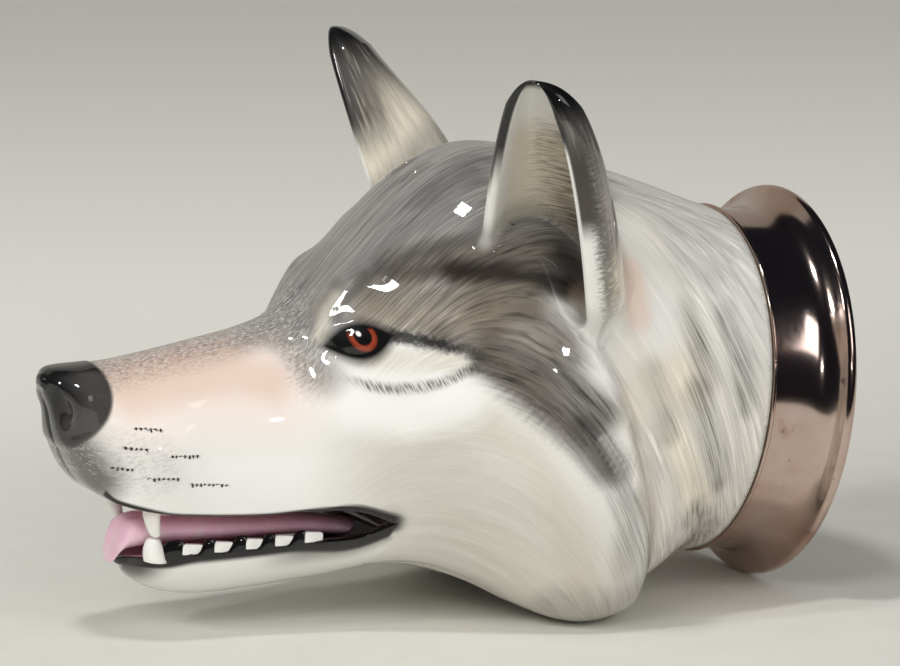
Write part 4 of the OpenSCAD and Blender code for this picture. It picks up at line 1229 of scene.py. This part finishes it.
class CUP_OT_head(bpy.types.Operator):
    """Model and paint the porcelain head with its lower jaw"""
    bl_idname = "stirrup_cup.head"
    bl_label = "Head and Jaw"

    def execute(self, context):
        form, _, tint = setting(context)
        pieces = []
        for patch in head_patches(form):
            piece = grid("head_part", form.place(patch.points))
            put(piece.data, "trace", np.stack([patch.arc, patch.lip, patch.jaw], -1))
            put(piece.data, "inner", np.stack([patch.inside] * 3, -1))
            pieces.append(piece)
        head = join(pieces)
        edit_all(head, merge(), face_out)
        self.model(head, form)
        self.paint(head, form, tint)
        apply_modifier(head, "MIRROR", use_axis=(False, True, False), merge_threshold=1e-6)
        edit_all(head, merge())
        outward(head)
        finish(head, "porcelain_head", "painted_porcelain", porcelain(tint), "head_shell", "lower_jaw")
        return {"FINISHED"}

    def model(self, head, form):
        """Carves the fine forms and the fur along the surface's normals."""
        mesh = head.data
        co = coords(mesh)
        s, y, h = form.unplace(co).T
        y = np.abs(y)
        arc, lip, jaw = take(mesh, "trace").T
        inside = take(mesh, "inner")[:, 0]
        middle = np.abs(co[:, 1]) < 1e-7
        out = normals(mesh)
        out[middle, 1] = 0
        out /= np.maximum(np.linalg.norm(out, axis=1), 1e-6)[:, None]
        skin = (inside < 0.5) * (jaw < 0.5) * ((lip > 0.4) | (s > LIP_END))
        flow = flow_of(s, y, arc)
        rise = carve(s, y, h) * skin
        rise = rise + 0.5 * flutes(flow) * fur_relief(form, s, y, h) * skin
        set_coords(mesh, co + out * (rise * MM)[:, None])
        put(mesh, "flow", flow)

    def paint(self, head, form, tint):
        """Keeps the coat's colours and the density of its strokes on the mesh."""
        mesh = head.data
        s, y, h = form.unplace(coords(mesh)).T
        y = np.abs(y)
        arc, lip, jaw = take(mesh, "trace").T
        inside = take(mesh, "inner")[:, 0]
        lane = take(mesh, "flow")[:, 1]
        base, dark, light, speck = head_paint(form, tint, s, y, h, arc, lane, lip, jaw, inside)
        along, across = eye_frame(s, h)
        side = ease((y - 13) / 4) * (inside < 0.5)
        put(mesh, "paint", base)
        put(mesh, "marks", np.stack([dark, light, speck], -1))
        put(mesh, "spot", np.stack([s, y, h], -1))
        put(mesh, "eye", np.stack([along, across, side], -1))


class EarForm:
    """A cupped blade that leans outwards and forwards from its root in the head."""
    section = [[-1, 0], [-0.8, 0.6], [-0.4, 0.95], [0, 1], [0.4, 0.82], [0.75, 0.5], [0.95, 0.1],
               [0.95, -0.3], [0.75, -0.55]]
    round_steps = 60
    rim_steps = 7
    length_steps = 110

    def __init__(self, form):
        self.mm = form.mm
        self.root = np.array([form.skull(0.65), form.wide(0.7), form.up(0.38)])
        self.axis = unit(np.array([19.0, 21.0, 50.0]))
        across = np.array([-28.0, 13.0, -14.0])
        self.side = unit(across - self.axis * (across @ self.axis))
        self.face = np.cross(self.side, self.axis)
        self.bow = np.array([0.5, 1.5, 0.0])

    def ring(self):
        """Place across the blade, and depth through its wall, round one station."""
        sweep = np.linspace(0, len(self.section) - 1, self.round_steps + 1)
        over = np.linspace(0, 1, self.rim_steps + 2)[1:-1]
        place = np.concatenate([sweep, 0 * over + sweep[-1], sweep[::-1], 0 * over])
        depth = np.concatenate([0 * sweep, over, 0 * sweep + 1, over[::-1]])
        return place, depth

    def shares(self, t):
        """Front half, rear half and depth of the cup, which round off towards the tip."""
        t = np.clip(t, 0, 1)
        return 0.86 * (1 - t) ** 0.6, (1 - t ** 2) ** 0.39, (1 - t ** 1.5) ** 0.73

    def curve(self, shares, place):
        front, rear, cup = shares
        q = spline(self.section, np.clip(place, 0, len(self.section) - 1))
        share = np.where(q[:, 0] > 0, rear, front)
        return np.stack([q[:, 0] * share * self.mm.ear_w / 2, q[:, 1] * cup * self.mm.ear_cup], -1)

    def points(self, t, place, depth):
        """Points at shares of the length, in the head's frame."""
        shares = self.shares(t)
        q = self.curve(shares, place)
        along = self.curve(shares, place + 0.1) - self.curve(shares, place - 0.1)
        along = along / np.maximum(np.linalg.norm(along, axis=1), 1e-9)[:, None]
        thick = self.mm.ear_t * np.minimum(1, (shares[0] + shares[1]) / 2 * self.mm.ear_w / 12)
        fuller = 3.0 * bell(place - 3.6, 1.5) * ease((0.9 - t) / 0.5)
        through = (thick + fuller) * (1 - np.cos(math.pi * depth)) / 2
        beyond = thick / 2 * np.sin(math.pi * depth) * np.where(place > 1, 1, -1)
        side = q[:, 0] - through * along[:, 1] + beyond * along[:, 0]
        deep = q[:, 1] + through * along[:, 0] + beyond * along[:, 1]
        spine = self.root + self.axis * (self.mm.ear_len * t)[:, None] + self.bow * (t ** 2)[:, None]
        return spine + self.side * side[:, None] - self.face * deep[:, None]


class CUP_OT_ears(bpy.types.Operator):
    """Model the ears, with their roots smoothed into the head"""
    bl_idname = "stirrup_cup.ears"
    bl_label = "Ears"

    def execute(self, context):
        form, _, tint = setting(context)
        head = bpy.data.objects["porcelain_head"]
        tree = BVHTree.FromObject(head, context.evaluated_depsgraph_get())
        left = self.ear(form, tree)
        self.borrow_coat(left, head)
        right = left.copy()
        right.data = left.data.copy()
        context.scene.collection.objects.link(right)
        set_coords(right.data, coords(right.data) * np.array([1.0, -1.0, 1.0]))
        edit_all(right, bpy.ops.mesh.flip_normals)
        material = ear_glaze(tint)
        finish(left, "left_ear_painted", "painted_porcelain", material, "left_ear")
        finish(right, "right_ear_painted", "painted_porcelain", material, "right_ear")
        return {"FINISHED"}

    def ear(self, form, tree):
        """The left ear: rings from its tip down to a fillet that runs out on the head."""
        ear = EarForm(form)
        turn, out = ear.ring()
        last = len(ear.section) - 1
        foot = self.feet(form, ear, tree, turn, out)
        edges, back, hollow, middle = 3.2, 10.0, 2.2, 0.45 * last
        spread = edges + back * ease(out) * bell(turn - middle, 0.22 * last)
        spread = spread - hollow * (1 - ease(out)) * bell(turn - middle, 0.30 * last)
        start = foot + spread / form.mm.ear_len
        climb = 1 - np.linspace(0, 1, ear.length_steps + 1) ** 1.8
        rings, tags, lies = [], [], []
        for c in climb:
            t = start + (1 - start) * c
            rings.append(form.place(self.leftwards(ear.points(t, turn, out))))
            blend = 0.5 * (1 - ease((t - start) / 0.10))
            tags.append(np.stack([t, 2 * turn / last - 1, out], -1))
            lies.append(self.lie(form, t, turn, blend))
        wall = form.place(self.leftwards(ear.points(foot, turn, out)))
        inset = 0.35
        within = np.clip(turn, inset, last - inset)
        core = form.place(self.leftwards(ear.points(foot, within, 0 * out + 0.5)))
        for k, ring in enumerate(self.fillet(rings[-1], wall, core, spread, tree)):
            rings.append(ring)
            tags.append(tags[-1])
            lies.append(self.lie(form, foot, turn, 0 * foot + 0.5 + 0.5 * float(ease((k + 1) / 6))))
        points, tags, lies = (self.closed(np.array(part)) for part in (rings, tags, lies))
        for k, at in ((0, 1), (-1, -2)):
            points[k] = points[at, :-1].mean(0)
        obj = grid("ear_skin", points)
        put(obj.data, "ear", tags)
        put(obj.data, "lie", lies)
        edit_all(obj, merge())
        outward(obj)
        return obj

    def leftwards(self, points):
        return points * np.array([1.0, -1.0, 1.0])

    def closed(self, rows):
        """Rings joined end to end, with a row more at the tip and at the hem."""
        rows = np.concatenate([rows[:1], rows, rows[-1:]])
        return np.concatenate([rows, rows[:, :1]], 1)

    def lie(self, form, t, turn, blend):
        """Millimetres across and along the ear, and how much of the head's coat lies over its paint."""
        return np.stack([turn * 5.0, t * form.mm.ear_len, blend + 0 * turn], -1)

    def feet(self, form, ear, tree, turn, out):
        """Shares of the length at which lines from the tip meet the head."""
        shares = np.linspace(0, 1, 241)
        found = np.zeros(len(turn))
        for j in range(len(turn)):
            line = form.place(self.leftwards(ear.points(shares, 0 * shares + turn[j], 0 * shares + out[j])))
            for k in range(len(line) - 1, -1, -1):
                near, normal, _, _ = tree.find_nearest(Vector(line[k]))
                if (Vector(line[k]) - near).dot(normal) < 0:
                    found[j] = shares[min(k + 1, len(shares) - 1)]
                    break
        for _ in range(3):
            found = (np.roll(found, 1) + 2 * found + np.roll(found, -1)) / 4
        return found

    def fillet(self, top, wall, core, spread, tree):
        """Rings that turn from the ear's wall on to the head in a soft hollow."""
        steps, sunk, deep = 8, 0.00015, 0.0012
        made = [[] for _ in range(steps + 1)]
        for j in range(len(wall)):
            near, normal, _, _ = tree.find_nearest(Vector(wall[j]))
            away = Vector(wall[j] - core[j])
            away = (away - normal * away.dot(normal)).normalized()
            hem, facing, _, _ = tree.find_nearest(near + away * (spread[j] * MM))
            for k in range(steps):
                t = (k + 1) / steps
                place = Vector(top[j]) * (1 - t) ** 2 + near * 2 * t * (1 - t)
                made[k].append(place + (hem - facing * sunk) * t * t)
            made[steps].append(hem - facing * deep)
        return [np.array([list(p) for p in ring]) for ring in made]

    def borrow_coat(self, ear, head):
        """Copies the head's paint to the ear, so that the two run into each other at the root."""
        co = coords(head.data)
        tree = KDTree(len(co))
        for k, place in enumerate(co):
            tree.insert(place, k)
        tree.balance()
        weights, picks = [], []
        for place in coords(ear.data):
            found = tree.find_n(place, 5)
            near = 1 / (np.array([gap for _, _, gap in found]) + 1e-5) ** 2
            weights.append(near / near.sum())
            picks.append([k for _, k, _ in found])
        weights, picks = np.array(weights), np.array(picks)
        for name in ("paint", "marks", "flow"):
            put(ear.data, name, (take(head.data, name)[picks] * weights[..., None]).sum(1))


class CUP_OT_tongue(bpy.types.Operator):
    """Model the tongue that lies on the lower jaw and hangs over its lip"""
    bl_idname = "stirrup_cup.tongue"
    bl_label = "Tongue"

    def execute(self, context):
        form, mm, tint = setting(context)
        muzzle, down = form.muzzle, form.down
        rows = [
            [muzzle(0) + 0.3, 0.9, down(0.69), 1],
            [muzzle(0.16), 1, down(0.672), 1.1],
            [muzzle(0.33), 0.98, down(0.684), 1.2],
            [muzzle(0.49), 0.9, down(0.697), 1.3],
            [muzzle(0.61), 0.8, down(0.706), 1.4],
            [muzzle(0.665), 0.74, down(0.715), 1.5],
            [muzzle(0.702), 0.66, down(0.74), 1.4],
            [muzzle(0.722), 0.54, down(0.80), 1.1],
            [muzzle(0.733), 0.40, down(0.865), 0.8],
            [muzzle(0.738), 0.24, down(0.905), 0.45],
            [muzzle(0.739), 0.06, down(0.922), 0.12],
        ]
        st = spline(rows, np.linspace(0, len(rows) - 1, 96))
        a = np.linspace(0, 2 * math.pi, 65)
        half_t = st[:, 3:4] * mm.tongue_t / 2
        c = np.cos(a)
        y = -np.sin(a) * st[:, 1:2] * mm.tongue_w / 2
        h = st[:, 2:3] - half_t + c * half_t * np.where(c > 0, 1 - 0.28 * c ** 6, 1)
        points = np.stack(np.broadcast_arrays(st[:, :1], y, h), -1)
        ends = [np.repeat(points[[k]].mean(1, keepdims=True), len(a), 1) for k in (0, -1)]
        tongue = grid("tongue_skin", form.place(np.concatenate([ends[0], points, ends[1]])))
        edit_all(tongue, merge())
        outward(tongue)
        finish(tongue, "tongue_glazed", "tongue_glaze", tongue_glaze(tint), "tongue")
        return {"FINISHED"}


class CUP_OT_teeth(bpy.types.Operator):
    """Model the fangs and the rows of cheek teeth"""
    bl_idname = "stirrup_cup.teeth"
    bl_label = "Fangs and Teeth"

    def execute(self, context):
        form, mm, tint = setting(context)
        material = tooth_glaze(tint)
        muzzle, down, wide = form.muzzle, form.down, form.wide
        for side, hand in (("left", -1), ("right", 1)):
            root = np.array([muzzle(0.675), hand * wide(0.27), down(0.645)])
            tip = root + np.array([-1.6, -hand * 0.8, -mm.upper_fang_len])
            self.fang(form, "upper_%s_fang" % side, root, tip, mm.fang_d / 2, 0.5, material)
            root = np.array([muzzle(0.638), hand * wide(0.21), down(0.895)])
            tip = root + np.array([1.0, hand * 0.3, mm.lower_fang_len])
            self.fang(form, "lower_%s_fang" % side, root, tip, mm.fang_d * 0.62, 0.3, material)
            self.row(form, side, hand, material)
        return {"FINISHED"}

    def fang(self, form, node, root, tip, radius, bend, material):
        """A sphere drawn out into a curved, blunt tooth."""
        bpy.ops.object.select_all(action="DESELECT")
        bpy.ops.mesh.primitive_uv_sphere_add(segments=32, ring_count=24, radius=1)
        obj = bpy.context.object
        q = coords(obj.data)
        t = (q[:, 2] + 1) / 2
        axis = tip - root
        start = root - axis * 0.25
        span = axis * 1.25
        lane = np.linalg.norm(q[:, :2], axis=1)
        around = np.where(lane[:, None] > 1e-6, q[:, :2] / np.maximum(lane, 1e-6)[:, None], 0)
        girth = radius * np.minimum(1, lane * 2.0) * (1 - 0.5 * t ** 2.2)
        p = start + span * t[:, None]
        p[:, 0] += around[:, 0] * girth + bend * np.sin(math.pi * t)
        p[:, 1] += around[:, 1] * girth
        set_coords(obj.data, form.place(p))
        edit_all(obj, merge())
        outward(obj)
        finish(obj, node + "_glazed", "tooth_glaze", material, node)

    def row(self, form, side, hand, material):
        """Blunt teeth standing in the gaps between the lobes of the lip."""
        gaps = [(0.538, 2.3), (0.45, 2.1), (0.362, 2.0), (0.28, 2.0), (0.198, 1.9)]
        teeth = []
        for share, half in gaps:
            s = form.muzzle(share)
            st = rows_at_places(form.jaw_rows, np.array([s]))[0]
            station = np.array([[st[0], 0, st[3], st[1], st[2], 2, st[4], st[5]]])
            under = np.array([math.pi])
            (y, h), _ = form.stretch(station, form.lip_angle(station), under, np.array([0.0, 1.0]))
            bpy.ops.object.select_all(action="DESELECT")
            bpy.ops.mesh.primitive_cube_add(size=2)
            tooth = bpy.context.object
            edit_all(tooth, lambda: bpy.ops.mesh.subdivide(number_cuts=3))
            apply_modifier(tooth, "SUBSURF", levels=2, render_levels=2)
            q = coords(tooth.data)
            lean = 2.2 * np.minimum(q[:, 2], 0)
            p = np.stack([s + q[:, 0] * half * 1.1,
                          hand * (y[0, 0] - form.mm.lip_t * 0.75 + q[:, 1] * 0.9 + lean),
                          h[0, 0] + 0.1 + q[:, 2] * 2.2], -1)
            set_coords(tooth.data, form.place(p))
            teeth.append(tooth)
        obj = join(teeth)
        edit_all(obj, merge())
        outward(obj)
        node = side + "_cheek_teeth"
        finish(obj, node + "_glazed", "tooth_glaze", material, node)


class CUP_OT_collar(bpy.types.Operator):
    """Spin the silver collar and set the cement's material"""
    bl_idname = "stirrup_cup.collar"
    bl_label = "Collar"

    def execute(self, context):
        form, mm, tint = setting(context)
        profile = self.profile(form, mm)
        mesh = bpy.data.meshes.new("collar_profile")
        loop = [(k, (k + 1) % len(profile)) for k in range(len(profile))]
        points = np.array([[s, 0.0, r] for s, r in profile])
        mesh.from_pydata([tuple(p) for p in form.place(points)], loop, [])
        obj = bpy.data.objects.new("collar_profile", mesh)
        context.scene.collection.objects.link(obj)
        axis = form.place(np.array([1.0, 0, 0])) - form.place(np.array([0.0, 0, 0]))
        centre = form.place(np.array([0.0, 0.0, 0.0]))
        edit_all(obj, lambda: bpy.ops.mesh.spin(steps=180, angle=2 * math.pi, center=tuple(centre),
                                                axis=tuple(axis / np.linalg.norm(axis))),
                 merge(1e-6))
        outward(obj)
        finish(obj, "silver_collar_spun", "silver", tarnished_silver(tint), "silver_collar")
        only(obj)
        bpy.ops.object.shade_smooth_by_angle(angle=math.radians(50))
        ring = frame["nodes"]["bedding_ring"]
        ring.data.materials.clear()
        ring.data.materials.append(plain_cement(tint))
        return {"FINISHED"}

    def profile(self, form, mm):
        """Outline of the wall from the edge on the neck, round the rolled rim, and back inside."""
        lip_at = mm.roll_d / 2
        edge = mm.collar_d / 2
        seat = edge - mm.silver_t + 0.05
        waist, slope = edge - 0.3, 0.6
        begin, end = math.radians(155), math.radians(-150)
        flare_at = lip_at - mm.roll_d / 2 * math.cos(begin)
        flare_r = form.rim_r + mm.roll_d / 2 * math.sin(begin)
        wall_at = mm.collar_len - 1.0
        run = wall_at - lip_at
        last = (wall_at - flare_at) / run
        flare = (flare_r - waist - slope * last ** 2) / last ** 7
        out = []
        for u in np.linspace(0, last, 44):
            out.append((wall_at - run * u, waist + slope * u ** 2 + flare * u ** 7))
        bead = [(0.0, -mm.silver_t), (0.0, 0.05), (0.15, 0.4), (0.4, 0.5), (0.7, 0.4)]
        bead = [(mm.collar_len - s, edge + r) for s, r in bead]
        roll = []
        for a in np.linspace(begin, end, 38)[1:]:
            roll.append((lip_at - mm.roll_d / 2 * math.cos(a), form.rim_r + mm.roll_d / 2 * math.sin(a)))
        roll = [(max(s, mm.lip_land), r) for s, r in roll]
        inner = [(s, max(r - mm.silver_t, seat)) for s, r in out[:-3][::-1]]
        return bead + out + roll + inner


class CUP_OT_stage(bpy.types.Operator):
    """Set the paper sweep, the soft lights and the camera"""
    bl_idname = "stirrup_cup.stage"
    bl_label = "Studio"

    def execute(self, context):
        tint = in_linear(context.scene.stirrup_cup_colours)
        paper, behind, wall, bend = 4.0, 0.2, 2.4, 0.7
        bpy.ops.object.select_all(action="DESELECT")
        bpy.ops.mesh.primitive_plane_add(size=paper, location=(0, behind, 0))
        sweep = bpy.context.object
        sweep.name = "studio_sweep"
        far = max(v.co.y for v in sweep.data.vertices)
        only(sweep)
        bpy.ops.object.mode_set(mode="EDIT")
        bpy.ops.mesh.select_mode(type="VERT")
        bpy.ops.mesh.select_all(action="DESELECT")
        bpy.ops.object.mode_set(mode="OBJECT")
        for v in sweep.data.vertices:
            v.select = v.co.y > far - 1e-4
        bpy.ops.object.mode_set(mode="EDIT")
        bpy.ops.mesh.extrude_region_move(TRANSFORM_OT_translate={"value": (0, 0, wall)})
        bpy.ops.object.mode_set(mode="OBJECT")
        apply_modifier(sweep, "BEVEL", width=bend, segments=16, limit_method="ANGLE")
        bpy.ops.object.shade_smooth()
        bpy.ops.object.transform_apply(location=True)
        sweep.data.materials.append(studio_paper(tint))
        self.card("dark_floor", tint, (0.3, -1.15, 0.004), (0.3, -1.15, 1.0), 4.0, 1.75)
        self.lights(context)
        self.camera(context)
        context.scene.view_settings.view_transform = "Standard"
        return {"FINISHED"}

    def card(self, name, tint, place, target, wide, high):
        """A dark cloth in front of the cup, there for the silver and the glaze to mirror only."""
        place, target = Vector(place), Vector(target)
        bpy.ops.object.select_all(action="DESELECT")
        bpy.ops.mesh.primitive_plane_add(size=1, location=place)
        card = bpy.context.object
        card.name = name
        card.scale = (wide, high, 1.0)
        card.rotation_euler = (target - place).to_track_quat("Z", "Y").to_euler()
        card.visible_camera = card.visible_diffuse = card.visible_shadow = False
        card.data.materials.append(dark_cloth(tint))

    def lights(self, context):
        """Softboxes, some of them not mirrored in the cup, and a sky that mirrors dark."""
        world = bpy.data.worlds.new("studio")
        context.scene.world = world
        world.use_nodes = True
        back = world.node_tree.nodes["Background"]
        back.inputs["Strength"].default_value = 0.34
        ray = world.node_tree.nodes.new("ShaderNodeLightPath")
        tone = world.node_tree.nodes.new("ShaderNodeMix")
        tone.data_type = "RGBA"
        tone.inputs["A"].default_value = (0.80, 0.81, 0.83, 1)
        tone.inputs["B"].default_value = (0.035, 0.037, 0.055, 1)
        world.node_tree.links.new(ray.outputs["Is Glossy Ray"], tone.inputs["Factor"])
        world.node_tree.links.new(tone.outputs["Result"], back.inputs["Color"])
        target = Vector((0.0, 0.0, 0.05))
        # Each box's place, width and height in metres, its watts, and whether the cup mirrors it
        boxes = [("overhead", (-0.35, -0.15, 1.35), 0.12, 0.16, 5, True),
                 ("left", (-1.15, -0.10, 0.85), 0.11, 0.30, 4, True),
                 ("right", (0.41, -1.14, 0.86), 0.62, 0.58, 3.0, True),
                 ("front", (-0.20, -1.50, 0.56), 0.05, 0.05, 1, True),
                 ("key", (-1.30, -1.00, 1.20), 0.90, 0.90, 11.5, False),
                 ("fill", (0.00, -1.85, 0.50), 1.20, 0.80, 6, False)]
        for name, place, wide, high, watts, mirrored in boxes:
            lamp = bpy.data.lights.new(name, "AREA")
            lamp.shape = "RECTANGLE"
            lamp.size, lamp.size_y, lamp.energy = wide, high, watts
            obj = bpy.data.objects.new(name, lamp)
            obj.location = place
            obj.rotation_euler = (target - Vector(place)).to_track_quat("-Z", "Y").to_euler()
            obj.visible_glossy = mirrored
            context.scene.collection.objects.link(obj)

    def camera(self, context):
        """A long lens in front of the cup, to its left and a little above it."""
        data = bpy.data.cameras.new("camera")
        data.sensor_width = 36.0
        data.lens = 212.5
        data.clip_end = 20
        obj = bpy.data.objects.new("camera", data)
        eye = Vector((-0.4628, -1.0497, 0.2627))
        aim = Vector((0.0196, 0.0291, 0.0542))
        obj.location = eye
        obj.rotation_euler = (aim - eye).to_track_quat("-Z", "Y").to_euler()
        context.scene.collection.objects.link(obj)
        context.scene.camera = obj


class CUP_PT_panel(bpy.types.Panel):
    """Sizes, colours and steps of the cup"""
    bl_idname = "CUP_PT_panel"
    bl_label = "Stirrup Cup"
    bl_space_type = "VIEW_3D"
    bl_region_type = "UI"
    bl_category = "Stirrup Cup"

    def draw(self, context):
        for group in (context.scene.stirrup_cup_sizes, context.scene.stirrup_cup_colours):
            column = self.layout.column(align=True)
            for key in type(group).__annotations__:
                column.prop(group, key)
        for step in STEPS:
            self.layout.operator(step.bl_idname)


STEPS = (CUP_OT_head, CUP_OT_ears, CUP_OT_tongue, CUP_OT_teeth, CUP_OT_collar, CUP_OT_stage)
CLASSES = (CupSizes, CupColours) + STEPS + (CUP_PT_panel,)


def register():
    for cls in CLASSES:
        bpy.utils.register_class(cls)
    bpy.types.Scene.stirrup_cup_sizes = PointerProperty(type=CupSizes)
    bpy.types.Scene.stirrup_cup_colours = PointerProperty(type=CupColours)


def unregister():
    del bpy.types.Scene.stirrup_cup_colours
    del bpy.types.Scene.stirrup_cup_sizes
    for cls in reversed(CLASSES):
        bpy.utils.unregister_class(cls)


def main():
    register()
    for step in STEPS:
        family, name = step.bl_idname.split(".")
        getattr(getattr(bpy.ops, family), name)()


if __name__ == "__main__":
    main()
